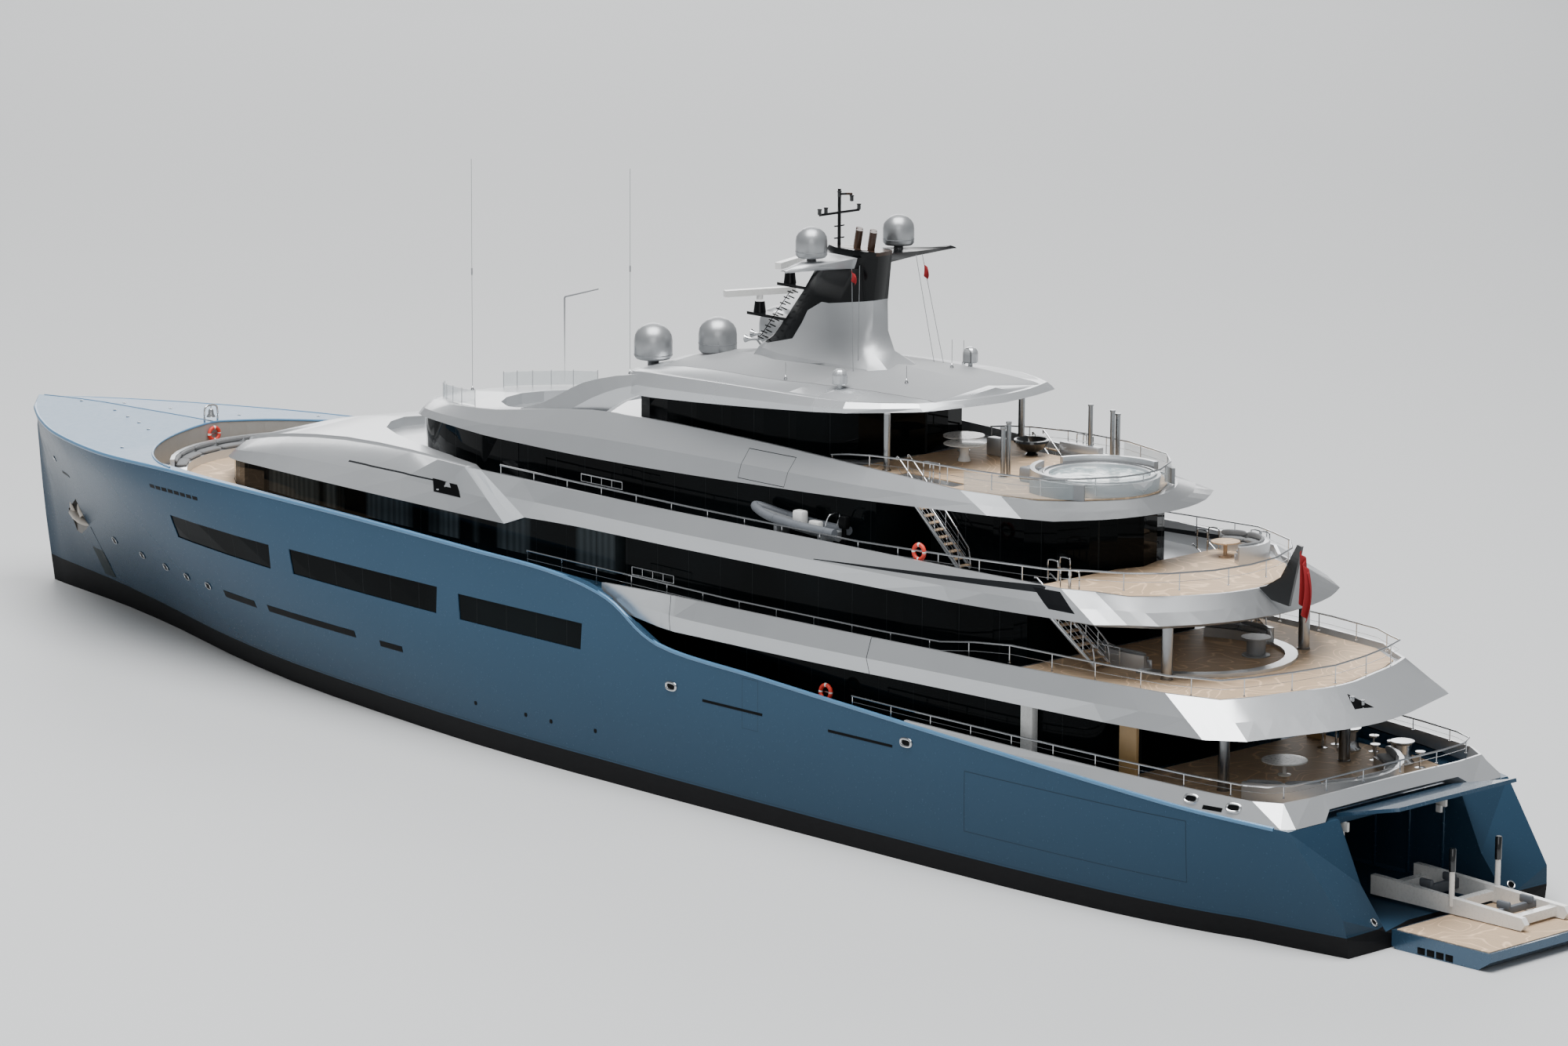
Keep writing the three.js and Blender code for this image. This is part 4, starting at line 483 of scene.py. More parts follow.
def make_finishes(sizes, colours):
    """All materials by name; the pieces look them up."""
    hull = colours.hull
    # Colour, roughness, metallic, and the scale, spread and relief of the clouds
    plain = {
        "coaming": ((0.36, 0.35, 0.33), 0.45, 0.3, 1.5, 0.08, 0.003),
        "pocket": ((0.16, 0.15, 0.14), 0.45, 0.6, 2.0, 0.3, 0.003),
        # Painted light: the foredeck faces up and is the hull blue 1.9 times as light.
        "foredeck": (tone(hull, 1.9), 0.35, 0.2, 0.6, 0.05, 0.003),
        # Painted highlight: the hull blue 2.6 times as light, for the light along rounded edges.
        "rim": (tone(hull, 2.6), 0.3, 0.2, 1.0, 0.05, 0.003),
        "whip": ((0.30, 0.31, 0.32), 0.4, 0.2, 3.0, 0.1, 0.003),
        "wear": ((0.014, 0.024, 0.027), 0.4, 0.0, 1.0, 0.35, 0.003),
        "cast": ((0.55, 0.50, 0.44), 0.5, 0.2, 2.0, 0.25, 0.01),
        "tan": ((0.42, 0.27, 0.12), 0.4, 0.0, 1.2, 0.18, 0.003),
        "steel": ((0.62, 0.63, 0.64), 0.2, 1.0, 8.0, 0.05, 0.003),
        "dull_steel": ((0.31, 0.32, 0.33), 0.25, 1.0, 5.0, 0.08, 0.003),
        "white": ((0.74, 0.74, 0.72), 0.28, 0.0, 1.5, 0.04, 0.003),
        "grey": ((0.23, 0.24, 0.25), 0.4, 0.2, 2.0, 0.08, 0.003),
        "dark": ((0.003, 0.0032, 0.0035), 0.4, 0.0, 3.0, 0.08, 0.003),
        "black": ((0.009, 0.010, 0.011), 0.16, 0.2, 3.0, 0.08, 0.003),
        "bronze": ((0.45, 0.27, 0.10), 0.25, 1.0, 3.0, 0.15, 0.003),
        "rubber": (colours.rubber, 0.55, 0.0, 3.0, 0.12, 0.01),
        "red": ((0.27, 0.006, 0.010), 0.8, 0.0, 3.0, 0.12, 0.01),
        "blue": (tone(hull, 0.95), 0.26, 0.45, 1.0, 0.05, 0.003),
    }
    coats = {"foredeck": 0.1, "rim": 0.2, "white": 0.4, "black": 0.6, "blue": 0.6}
    matt = {"wear": 0.08, "dark": 0.06}
    for key, row in plain.items():
        gloss = {"coat_weight": coats[key]} if key in coats else {}
        if key in matt:
            gloss["specular_ior_level"] = matt[key]
        FINISHES[key] = plain_finish(key + "_finish", *row, **gloss)
    FINISHES.update({
        "hull": hull_finish(colours), "silver": silver_finish(colours),
        "plain_silver": silver_finish(colours, "plain_silver_finish", seams=False),
        "hardtop": hardtop_finish(colours), "teak": teak_finish(colours),
        "glass": glass_finish(colours, pane=sizes.pane_width),
        "fore_glass": glass_finish(colours, "fore_glass_finish", True, sizes.pane_width),
        "fabric": fabric_finish(colours), "mast": mast_finish(colours),
        "dome": dome_finish(colours), "ring": ring_finish(colours), "water": water_finish(),
        "clear": clear_finish(),
    })


def clear_finish():
    """Thin clear parapet glass with a faint smear."""
    f = Finish("clear_finish", metallic=0.0, specular_ior_level=0.7)
    smear = f.noise(0.8, 3.0)
    f.put("Base Color", f.blend(smear, (0.35, 0.42, 0.44), (0.5, 0.56, 0.58)))
    f.put("Alpha", smear * 0.1 + 0.22)
    f.put("Roughness", smear * 0.05 + 0.03)
    return f.material


# Meshes
def turns(count):
    """Angles of evenly spaced points round a circle."""
    return np.arange(count) / count * 2 * np.pi


def power(value, exponent):
    """Power of the size of a value, with its sign kept."""
    return np.sign(value) * np.abs(value) ** exponent


def catmull(points, per):
    """
    Smooth path through points: between two of them the place is the cubic
    that also leans on the point before and the point after.
    """
    p = np.asarray(points, float)
    before = np.vstack([2 * p[0] - p[1], p[:-2]])
    after = np.vstack([p[2:], 2 * p[-1] - p[-2]])
    a, b = p[:-1], p[1:]
    t = np.arange(per)[None, :, None] / per
    a, b, before, after = (v[:, None, :] for v in (a, b, before, after))
    row = 0.5 * (2 * a + (b - before) * t + (2 * before - 5 * a + 4 * b - after) * t ** 2
                 + (3 * a - before - 3 * b + after) * t ** 3)
    return np.vstack([row.reshape(-1, p.shape[1]), p[-1:]])


def along(path, distances):
    """Places at given distances along a path, straight between its points."""
    p = np.asarray(path, float)
    run = np.concatenate([[0], np.cumsum(np.linalg.norm(np.diff(p, axis=0), axis=1))])
    return np.stack([np.interp(distances, run, p[:, k]) for k in range(3)], axis=1), run[-1]


def grid(points, round_u=False, round_v=False, caps=False):
    """
    Surface over a grid of places (u, v): each face joins four neighbours.
    round_u and round_v close it round; caps close the two ends along u with fans.
    """
    nu, nv = points.shape[:2]
    index = np.arange(nu * nv).reshape(nu, nv)
    iu = np.arange(nu if round_u else nu - 1)
    iv = np.arange(nv if round_v else nv - 1)
    u, v = np.meshgrid(iu, iv, indexing="ij")
    u2, v2 = (u + 1) % nu, (v + 1) % nv
    quads = np.stack([index[u, v], index[u2, v], index[u2, v2], index[u, v2]], -1).reshape(-1, 4)
    verts = points.reshape(-1, 3)
    fans = np.zeros((0, 3), int)
    if caps:
        ends = []
        for row, flip in ((index[0], False), (index[-1], True)):
            middle = len(verts)
            verts = np.vstack([verts, verts[row].mean(0)])
            fan = np.stack([np.full(nv, middle), row, np.roll(row, -1)], -1)
            ends.append(fan[:, ::-1] if flip else fan)
        fans = np.vstack(ends)
    return verts, quads, fans


def tube(path, radius, sides=8, flat=1.0, up=(0, 0, 1), round_off=True):
    """
    Round tube: a circle of the given radius carried along the path, square to
    its direction; flat squashes the circle along the up direction.
    """
    p = np.asarray(path, float)
    way = np.gradient(p, axis=0)
    way /= np.linalg.norm(way, axis=1, keepdims=True) + 1e-12
    up = np.asarray(up, float)
    if abs(way @ up).mean() > 0.8:
        up = np.array([0.0, 1.0, 0.0]) if abs(up[2]) > 0.5 else np.array([0.0, 0.0, 1.0])
    side = np.cross(way, up)
    side /= np.linalg.norm(side, axis=1, keepdims=True) + 1e-12
    rise = np.cross(side, way)
    angle = turns(sides)
    r = np.broadcast_to(np.asarray(radius, float), (len(p),))[:, None, None]
    ring = (p[:, None] + side[:, None] * np.cos(angle)[None, :, None] * r
            + rise[:, None] * np.sin(angle)[None, :, None] * r * flat)
    return grid(ring, round_v=True, caps=round_off)


def hoop(path, radius, sides=8):
    """Closed tube along a closed path."""
    p = np.asarray(path, float)
    way = np.roll(p, -1, 0) - np.roll(p, 1, 0)
    way /= np.linalg.norm(way, axis=1, keepdims=True)
    centre = p.mean(0)
    out = p - centre
    normal = np.cross(out[0], way[0])
    normal /= np.linalg.norm(normal)
    side = np.cross(way, normal)
    angle = turns(sides)
    ring = (p[:, None] + side[:, None] * np.cos(angle)[None, :, None] * radius
            + normal[None, None] * np.sin(angle)[None, :, None] * radius)
    return grid(ring, round_u=True, round_v=True)


def rods(starts, ends, radius, sides=6):
    """Straight round bars from each start to its end, as one mesh."""
    a, b = np.asarray(starts, float), np.asarray(ends, float)
    way = b - a
    way /= np.linalg.norm(way, axis=1, keepdims=True) + 1e-12
    help_up = np.where(np.abs(way[:, 2:3]) > 0.8, [[1.0, 0, 0]], [[0, 0, 1.0]])
    side = np.cross(way, help_up)
    side /= np.linalg.norm(side, axis=1, keepdims=True)
    rise = np.cross(side, way)
    angle = turns(sides)
    spin = (side[:, None] * np.cos(angle)[None, :, None]
            + rise[:, None] * np.sin(angle)[None, :, None]) * radius
    verts = np.stack([a[:, None] + spin, b[:, None] + spin], 1)
    n = len(a)
    base = np.arange(n)[:, None] * 2 * sides
    i = np.arange(sides)
    j = (i + 1) % sides
    quads = np.stack([base + i, base + sides + i, base + sides + j, base + j], -1).reshape(-1, 4)
    low = np.stack([np.zeros(sides - 2, int), i[1:-1], i[2:]], -1)
    fans = np.vstack([(base[:, :, None] + low[None]).reshape(-1, 3),
                      (base[:, :, None] + sides + low[None, :, ::-1]).reshape(-1, 3)])
    return verts.reshape(-1, 3), quads, fans


def rod(start, end, radius, sides=6):
    return rods([start], [end], radius, sides)


def lathe(profile, centre, sides=24):
    """Turned piece: each profile point (radius, height) swept round an upright axis."""
    p = np.asarray(profile, float)
    angle = turns(sides)
    ring = np.stack([p[:, None, 0] * np.cos(angle), p[:, None, 0] * np.sin(angle),
                     np.broadcast_to(p[:, None, 1], (len(p), sides))], -1)
    return grid(ring + np.asarray(centre, float), round_v=True, caps=True)


def slab(low, high, edge=0.02):
    """
    Rounded box: rings of a rounded rectangle, drawn in by the edge radius at
    the foot and the head along a quarter circle.
    """
    low, high = np.asarray(low, float), np.asarray(high, float)
    centre, half = (low + high) / 2, (high - low) / 2
    edge = min(edge, *(half * 0.98))
    turn = np.linspace(0, 2 * np.pi, 17)[:-1] + np.pi / 16
    corner = np.sign(np.stack([np.cos(turn), np.sin(turn)], -1)) * (half[:2] - edge)
    spin = np.stack([np.cos(turn), np.sin(turn)], -1)
    t = np.array([-np.pi / 2, -np.pi / 4, 0, 0, np.pi / 4, np.pi / 2])
    z = np.sign([-1, -1, -1, 1, 1, 1]) * (half[2] - edge) + np.sin(t) * edge
    out = np.cos(t) * edge
    ring = np.concatenate([corner[None] + spin[None] * out[:, None, None],
                           np.broadcast_to(z[:, None, None], (6, 16, 1))], -1)
    return grid(ring[::-1] + centre, round_v=True, caps=True)


def flipped(part):
    """The starboard twin of a port shape, with its faces turned out again."""
    verts, quads, fans = part
    return verts * [1, -1, 1], quads[:, ::-1], fans[:, ::-1]


def both(parts):
    return parts + [flipped(part) for part in parts]


# Finishes by material slot; a piece looks up the slot of its finish here unless it names another
SLOTS = {
    "polished_steel": ("steel", "dull_steel", "wear", "cast", "ring"),
    "black_gloss": ("dark", "black", "whip", "rubber"),
    "white_gloss": ("white", "water"), "silver_paint": ("plain_silver", "grey"),
    "hull_paint": ("blue", "rim"), "teak": ("teak", "tan"), "cushion": ("fabric", "red"),
    "dark_glass": ("clear",),
}


def piece(name, parts, finish, slot=None, body="yacht", attribute=None):
    """One object from shapes in full-size metres, shaded round."""
    slot = slot or next(key for key, finishes in SLOTS.items() if finish in finishes)
    verts, faces, count = [], [], 0
    for v, quads, fans in parts:
        verts.append(v)
        faces += (quads + count).tolist() + (fans + count).tolist()
        count += len(v)
    mesh = bpy.data.meshes.new(name)
    mesh.from_pydata((np.vstack(verts) * METRE).tolist(), [], faces)
    mesh.validate()
    form = bmesh.new()
    form.from_mesh(mesh)
    bmesh.ops.remove_doubles(form, verts=form.verts, dist=1e-6)
    bmesh.ops.recalc_face_normals(form, faces=form.faces)
    form.to_mesh(mesh)
    form.free()
    mesh.shade_smooth()
    mesh.set_sharp_from_angle(angle=math.radians(40))
    mesh.materials.append(FINISHES[finish])
    if attribute is not None:
        mesh.attributes.new("turn", "FLOAT", "POINT").data.foreach_set("value", attribute)
    made = bpy.data.objects.new(name, mesh)
    bpy.context.scene.collection.objects.link(made)
    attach(made, body)
    return made


TREES = {}


def first_hit(node, start, way):
    """Place and outward direction where a ray first meets a node, full-size metres."""
    if node not in TREES:
        mesh = frame["nodes"][node].data
        TREES[node] = BVHTree.FromPolygons([v.co for v in mesh.vertices],
                                           [p.vertices for p in mesh.polygons])
    spot, normal, _, _ = TREES[node].ray_cast(Vector(start) * METRE, Vector(way))
    if spot is None:
        raise RuntimeError(f"nothing of {node} from {start} towards {way}")
    return np.array(spot) / METRE, np.array(normal)


def on_side(x, z, sign=1, node="hull"):
    return first_hit(node, (x, sign * 12, z), (0, -sign, 0))


def on_top(x, y, node, above=30.0):
    """Height of a node's upper side at (x, y), seen from a given height."""
    return first_hit(node, (x, y, above), (0, 0, -1))[0][2]


# Finish of each node by the start of its name. The nodes in PLATED and ROUNDED
# are shown by a joined copy: plating keeps its creases, turned pieces are round.
NODE_FINISH = [
    ("hull_window", "glass"), ("hull", "hull"), ("upper_deckhouse_fore", "fore_glass"),
    ("upper_deckhouse_aft", "glass"), ("upper_deck", "silver"), ("bridge_deckhouse", "glass"),
    ("bridge_deck", "silver"), ("sun_deckhouse", "glass"), ("sun_deck", "silver"),
    ("main_deckhouse", "glass"), ("wheelhouse", "glass"), ("hardtop", "hardtop"),
    ("stern_bulwark", "plain_silver"), ("dome", "dome"), ("radar", "white"), ("mast", "mast"),
    ("sun_pool", "plain_silver"), ("sun_lounge", "plain_silver"), ("sun_teak", "teak"),
    ("main_teak", "teak"), ("upper_teak", "teak"), ("bridge_teak", "teak"),
    ("fore_teak", "teak"), ("main_table", "white"), ("sun_table", "white"),
    ("upper_table", "grey"), ("bridge_table", "teak"), ("stair", "dull_steel"),
    ("swim_platform", "blue"), ("garage_door", "blue"), ("tender_cradle", "white"),
    ("ensign_staff", "black"), ("propeller", "bronze"), ("rudder", "blue"),
    ("stabiliser", "blue"), ("anchor", "dull_steel"), ("main_lounge_bench", "plain_silver"),
    ("upper_lounge_bench", "plain_silver"), ("bridge_bench", "plain_silver"),
    ("fore_bench", "plain_silver"),
]
PLATED = ("hull", "upper_deck", "bridge_deck", "sun_deck", "hardtop", "stern_bulwark",
          "swim_platform", "garage_door")
ROUNDED = (
    "main_deckhouse", "wheelhouse", "sun_pool", "sun_lounge", "dome", "mast", "propeller",
    "main_table", "upper_table", "bridge_table", "sun_table", "main_lounge_bench",
    "upper_lounge_bench", "bridge_bench", "fore_bench", "rudder", "stabiliser", "ensign_staff",
)


# Lines of the hull side by rows along the length: x, half breadths at the
# waterline, half way up and at the rim, and the height of the rim.
HULL_LINES = [
    (-45.1, 6.35, 6.75, 7.1, 5.0), (-43, 7.05, 7.35, 7.6, 5.15), (-40, 7.7, 7.95, 8.05, 5.3),
    (-36, 8.2, 8.35, 8.35, 5.55), (-30, 8.48, 8.56, 8.54, 5.9), (-22, 8.52, 8.6, 8.6, 6.32),
    (-15, 8.52, 8.62, 8.62, 6.7), (-8.3, 8.49, 8.62, 8.62, 7.12), (-4.9, 8.43, 8.62, 8.62, 8.72),
    (-1, 8.36, 8.62, 8.62, 9.38), (5, 8.05, 8.58, 8.62, 9.56), (13, 7.2, 8.35, 8.62, 9.78),
    (21, 6.05, 7.8, 8.6, 9.92), (28, 4.45, 6.75, 8.4, 9.98), (34, 2.75, 5.2, 7.75, 9.85),
    (40, 1.35, 3.3, 5.9, 9.74), (44, 0.7, 1.95, 3.95, 9.72), (47, 0.26, 0.9, 2.05, 9.72),
]
STEM = [(-3.2, 47.2), (0, 48.2), (4, 48.98), (7.4, 49.4), (9.0, 49.55), (9.78, 49.3)]


def breadth(x, z):
    """
    Half breadth of the hull side: across the height the quadratic through the
    three breadths of a row, along the length a smooth line through the rows,
    ahead of the last row a straight taper to the stem, and abaft x -43 the
    rows lean with the sloping transom.
    """
    line = catmull(HULL_LINES, 6)
    overhang = np.maximum(-2.8, (z - 5) * 0.8)
    x = np.where(x < -43, -43 + 2.1 * (x + 43) / (2.1 - overhang), x)
    water, middle, rim, top = (np.interp(x, line[:, 0], line[:, k]) for k in (1, 2, 3, 4))
    t = np.clip(z / top, 0, 1)
    side = water * (1 - t) * (1 - 2 * t) + middle * 4 * t * (1 - t) + rim * t * (2 * t - 1)
    nose = np.interp(z, *np.array(STEM).T)
    return side * np.where(x > 47, np.clip((nose - x) / (nose - 47), 0, 1), 1)


def spread(collection, key, width, kind=float):
    """A property of all vertices, corners or faces as one array."""
    values = np.empty(len(collection) * width, kind)
    collection.foreach_get(key, values)
    return values.reshape(-1, width) if width > 1 else values


def fair_hull(mesh):
    """
    Shading directions of the hull: on its side those of the lines themselves, on
    the foredeck those of two planes that meet on the centreline, and flat on the
    cut outs. The inner walls of the wells and the anchor pockets get their own
    finishes, and the foredeck a paler blue: painted light on the deck that faces up.
    """
    index = spread(mesh.loops, "vertex_index", 1, int)
    x, y, z = spread(mesh.vertices, "co", 3)[index].T / METRE
    reach = 0.4
    slope_x = (breadth(x + reach, z) - breadth(x - reach, z)) / (2 * reach)
    slope_z = (breadth(x, z + reach) - breadth(x, z - reach)) / (2 * reach)
    way = np.stack([-slope_x, np.sign(y), -slope_z], -1)
    way /= np.linalg.norm(way, axis=1, keepdims=True)
    counts = spread(mesh.polygons, "loop_total", 1, int)
    faces = spread(mesh.polygons, "normal", 3)
    flat = np.repeat(faces, counts, axis=0)
    areas = np.repeat(spread(mesh.polygons, "area", 1), counts)
    on_skin = np.abs(np.abs(y) - breadth(x, z)) < 0.07
    on_skin &= (z > -0.02) & (((way * flat).sum(1) > 0.9) | (areas < 4e-5))
    on_skin &= (x > -43.5) | (np.abs(flat[:, 0]) < 0.35)
    middles = spread(mesh.polygons, "center", 3) / METRE
    side = np.repeat(np.sign(middles[:, 1]), counts)
    roof = np.stack([0 * x - 0.01, side * 0.07, 1 + 0 * x], -1) / 1.0025
    on_roof = (flat[:, 2] > 0.97) & (x > 33)
    shade = np.where(on_skin[:, None], way, np.where(on_roof[:, None], roof, flat))
    below = (z < -0.02) | ((flat[:, 2] < -0.2) & (z < 0.1))
    mesh.normals_split_custom_set(np.where(below[:, None], 0.0, shade).tolist())

    mx, my, mz = middles.T
    skin_faces = np.minimum.reduceat(on_skin, np.cumsum(counts) - counts).astype(bool)
    inward = (faces[:, 1] * np.sign(my) < -0.3) | ((faces[:, 0] < -0.3) & (mx > 26))
    inner = inward & (mz > 8.7) & (mx > -4.5) & ~skin_faces
    pocket = (mx > 42.2) & (mx < 45.2) & (mz > 3.3) & (mz < 5.4) & ~skin_faces
    # Painted light: the foredeck faces get the paler foredeck blue.
    deck = (faces[:, 2] > 0.9) & (mx > 5) & (mz > 9.2)
    kind = np.select([inner, pocket, deck], [1, 2, 3], 0)
    mesh.polygons.foreach_set("material_index", kind)


def rounded_copy(name, finish, angle):
    """
    Copy of a node with its corners joined, shaded round where neighbouring
    faces meet at less than the angle. It stands for the node.
    """
    source = frame["nodes"][name]
    mesh = source.data.copy()
    mesh.name = name + "_skin"
    form = bmesh.new()
    form.from_mesh(mesh)
    bmesh.ops.remove_doubles(form, verts=form.verts, dist=2e-6)
    if name != "hull":
        bmesh.ops.dissolve_limit(form, angle_limit=math.radians(0.4), verts=form.verts,
                                 edges=form.edges)
    form.to_mesh(mesh)
    form.free()
    mesh.shade_smooth()
    mesh.set_sharp_from_angle(angle=angle)
    mesh.materials.clear()
    for look in (finish, "coaming", "pocket", "foredeck") if name == "hull" else (finish,):
        mesh.materials.append(FINISHES[look])
    if name == "hull":
        fair_hull(mesh)
    made = bpy.data.objects.new(name + "_skin", mesh)
    bpy.context.scene.collection.objects.link(made)
    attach(made, source["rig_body"])
    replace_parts(made, name)


class YACHT_OT_finishes(bpy.types.Operator):
    """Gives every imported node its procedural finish"""

    bl_idname = "yacht.finishes"
    bl_label = "Hull and superstructure finishes"

    def execute(self, context):
        sizes, colours = context.scene.yacht_sizes, context.scene.yacht_colours
        make_finishes(sizes, colours)
        for name, node in frame["nodes"].items():
            finish = next(f for start, f in NODE_FINISH if name.startswith(start))
            if name in PLATED:
                rounded_copy(name, finish, sizes.crease)
            elif name.startswith(ROUNDED):
                rounded_copy(name, finish, sizes.soften)
            else:
                node.data.materials.clear()
                node.data.materials.append(FINISHES[finish])
        return {"FINISHED"}


# Rails by name: how far the foot lies below the top line, and that line (x, y, z) from
# its port end to the centreline, where it goes on mirrored to starboard.
RAILS = [
    ("main_rail", 0.52, [
        (-20.5, 8.25, 6.75), (-24, 8.2, 6.7), (-30, 8.0, 6.62), (-36, 7.72, 6.56),
        (-40, 7.35, 6.52), (-42.3, 7.0, 6.5), (-43.4, 6.5, 6.5), (-43.9, 5.6, 6.5),
        (-44.05, 4.0, 6.5), (-44.05, 2.0, 6.5), (-44.05, 0, 6.5)]),
    ("upper_rail", 0.78, [
        (2.0, 7.4, 9.7), (-5, 7.45, 9.66), (-12, 7.5, 9.62), (-21.6, 7.5, 9.74),
        (-25.2, 7.5, 9.86), (-27.3, 7.5, 10.18), (-29.4, 7.45, 10.38), (-34.9, 7.15, 10.38),
        (-37.9, 6.75, 10.37), (-39.2, 6.1, 10.36), (-40.0, 5.75, 10.36), (-40.55, 4.3, 10.36),
        (-41.05, 2.2, 10.36), (-41.35, 0, 10.36)]),
    ("bridge_rail", 0.75, [
        (4.6, 6.75, 13.3), (-1, 6.95, 13.32), (-8.8, 7.12, 13.34), (-19.6, 7.15, 13.42),
        (-26.7, 6.98, 13.68), (-30.9, 6.72, 13.85), (-32.4, 6.0, 13.92), (-34.1, 5.2, 13.95),
        (-35.3, 3.95, 13.95), (-36.15, 2.0, 13.95), (-36.4, 0, 13.95)]),
    ("sun_rail", 0.75, [
        (-15.9, 5.1, 16.5), (-17.0, 5.1, 16.68), (-18.4, 5.12, 16.82), (-20.9, 5.12, 16.97),
        (-22.8, 5.1, 17.0), (-24.6, 4.98, 17.02),
        (-26.2, 4.6, 17.0), (-27.7, 4.15, 17.0), (-29.0, 2.95, 17.0), (-29.9, 1.3, 17.0),
        (-30.1, 0, 17.0)]),
]


def rail_parts(line, drop, step, tube_radius, post_radius, wires):
    """Hand rail along a line, posts at even steps and wires below it."""
    path = np.asarray(line, float)
    _, length = along(path, [0.0])
    spots = np.linspace(0.05, length - 0.05, max(2, round(length / step) + 1))
    tops, _ = along(path, spots)
    feet = tops - [0, 0, drop]
    parts = [tube(path, tube_radius), rods(tops, feet, post_radius),
             rods(feet, feet + [0, 0, 0.03], post_radius * 2.2, 8)]
    for wire in range(wires):
        fall = drop * (wire + 1) / (wires + 1)
        parts.append(tube(path - [0, 0, fall], tube_radius * 0.25, 6))
    return parts


class YACHT_OT_rails(bpy.types.Operator):
    """Hand rails round the open decks"""

    bl_idname = "yacht.rails"
    bl_label = "Rails"

    def execute(self, context):
        sizes = context.scene.yacht_sizes
        for name, foot, port in RAILS:
            line = [Vector(p) for p in port]
            line += [Vector((p.x, -p.y, p.z)) for p in reversed(line[:-1])]
            parts = rail_parts(line, foot, sizes.post_step, sizes.rail_tube, sizes.post_tube, 1)
            piece(name, parts, "steel")
        return {"FINISHED"}


# Seating
def arc_pad(centre, radii, angles, heights, pinch=0.03):
    """
    Stuffed pad bent round an upright axis: a ball with latitude u and longitude
    v, made square. Its plan (s, t) goes by cos u, cos v and sin v, each to the
    power 0.4, and its height by sin u to the power 0.6, crowned where s and t
    are small. The angle runs with s and the distance from the axis with t, and
    the sides draw in between the corners.
    """
    u = np.linspace(-np.pi / 2, np.pi / 2, 13)[:, None]
    v = turns(36)[None]
    room = power(np.cos(u), 0.4) * (1 - pinch * np.sin(2 * v) ** 2)
    s, t = room * power(np.cos(v), 0.4), room * power(np.sin(v), 0.4)
    crown = 0.82 + 0.18 * (1 - s ** 2) * (1 - t ** 2)
    rise = power(np.sin(u), 0.6) * crown
    angle = np.radians((angles[0] + angles[1]) / 2 + s * (angles[1] - angles[0]) / 2)
    radius = (radii[0] + radii[1]) / 2 + t * (radii[1] - radii[0]) / 2
    z = (heights[0] + heights[1]) / 2 + rise * (heights[1] - heights[0]) / 2
    points = np.stack([centre[0] + radius * np.cos(angle), centre[1] + radius * np.sin(angle), z],
                      -1)
    return grid(points, round_v=True, caps=True)


def arc_line(centre, radius, angles, z, count=9):
    """Points on an arc at one height."""
    a = np.radians(np.linspace(*angles, count))
    return np.stack([centre[0] + radius * np.cos(a), centre[1] + radius * np.sin(a),
                     np.full(count, z)], -1)


# Benches whose hard shells are nodes: centre, inner radius, width, angles,
# height of the foot, seat and back above the foot, and the number of pads.
BENCHES = [
    {"name": "main_lounge", "x": -38.5, "y": 0, "r": 4.35, "w": 0.85, "from": 112, "to": 248,
     "foot": MAIN + TEAK, "seat": 0.42, "back": 0.85, "pads": 7},
    {"name": "bridge_lounge", "x": -31.2, "y": -4.2, "r": 1.3, "w": 0.65, "from": 150, "to": 320,
     "foot": BRIDGE_AFT + TEAK, "seat": 0.42, "back": 0.8, "pads": 4},
    {"name": "fore_lounge", "x": WELL[0], "y": WELL[1], "r": 6.55, "w": 0.85, "from": -52, "to": 52,
     "foot": UPPER_SIDE, "seat": 0.42, "back": 0.74, "pads": 7},
    {"name": "upper_lounge_port", "x": -33.2, "y": 0, "r": 3.6, "w": 0.7, "from": 55, "to": 103,
     "foot": UPPER_AFT + TEAK, "seat": 0.42, "back": 0.72, "pads": 2},
    {"name": "upper_lounge_starboard", "x": -33.2, "y": 0, "r": 3.6, "w": 0.7, "from": -103,
     "to": -55, "foot": UPPER_AFT + TEAK, "seat": 0.42, "back": 0.72, "pads": 2},
]


class YACHT_OT_seating(bpy.types.Operator):
    """Seat and back cushions on the curved benches"""

    bl_idname = "yacht.seating"
    bl_label = "Cushions"

    def execute(self, context):
        thick = context.scene.yacht_sizes.cushion_height
        for row in BENCHES:
            centre = (row["x"], row["y"])
            edges = np.linspace(row["from"] + 0.8, row["to"] - 0.8, row["pads"] + 1)
            seat, back, piping = [], [], []
            inner, outer = row["r"] + 0.02, row["r"] + row["w"] - 0.24
            top = row["foot"] + row["seat"]
            for low, high in zip(edges[:-1] + 0.35, edges[1:] - 0.35):
                seat.append(arc_pad(centre, (inner, outer - 0.02), (low, high),
                                    (top + 0.005, top + thick)))
                back.append(arc_pad(centre, (outer - 0.13, outer), (low, high),
                                    (top + thick + 0.005, row["foot"] + row["back"] + 0.1)))
                for radius in (inner + 0.015, outer - 0.04):
                    piping.append(tube(arc_line(centre, radius, (low + 1, high - 1),
                                                top + thick * 0.52), 0.012, 5))
            piece(row["name"] + "_seats", seat, "fabric")
            piece(row["name"] + "_backs", back, "fabric")
            piece(row["name"] + "_piping", piping, "grey", "cushion")
        return {"FINISHED"}


# Stairs
STAIRS = [
    {"name": "stair_upper", "x0": -28.9, "x1": -32.6, "y0": 4.55, "y1": 5.55, "foot": 9.48,
     "head": 12.1, "steps": 11},
    {"name": "stair_bridge", "x0": -19.6, "x1": -23.6, "y0": 3.95, "y1": 4.7, "foot": 12.26,
     "head": 15.85, "steps": 13},
]


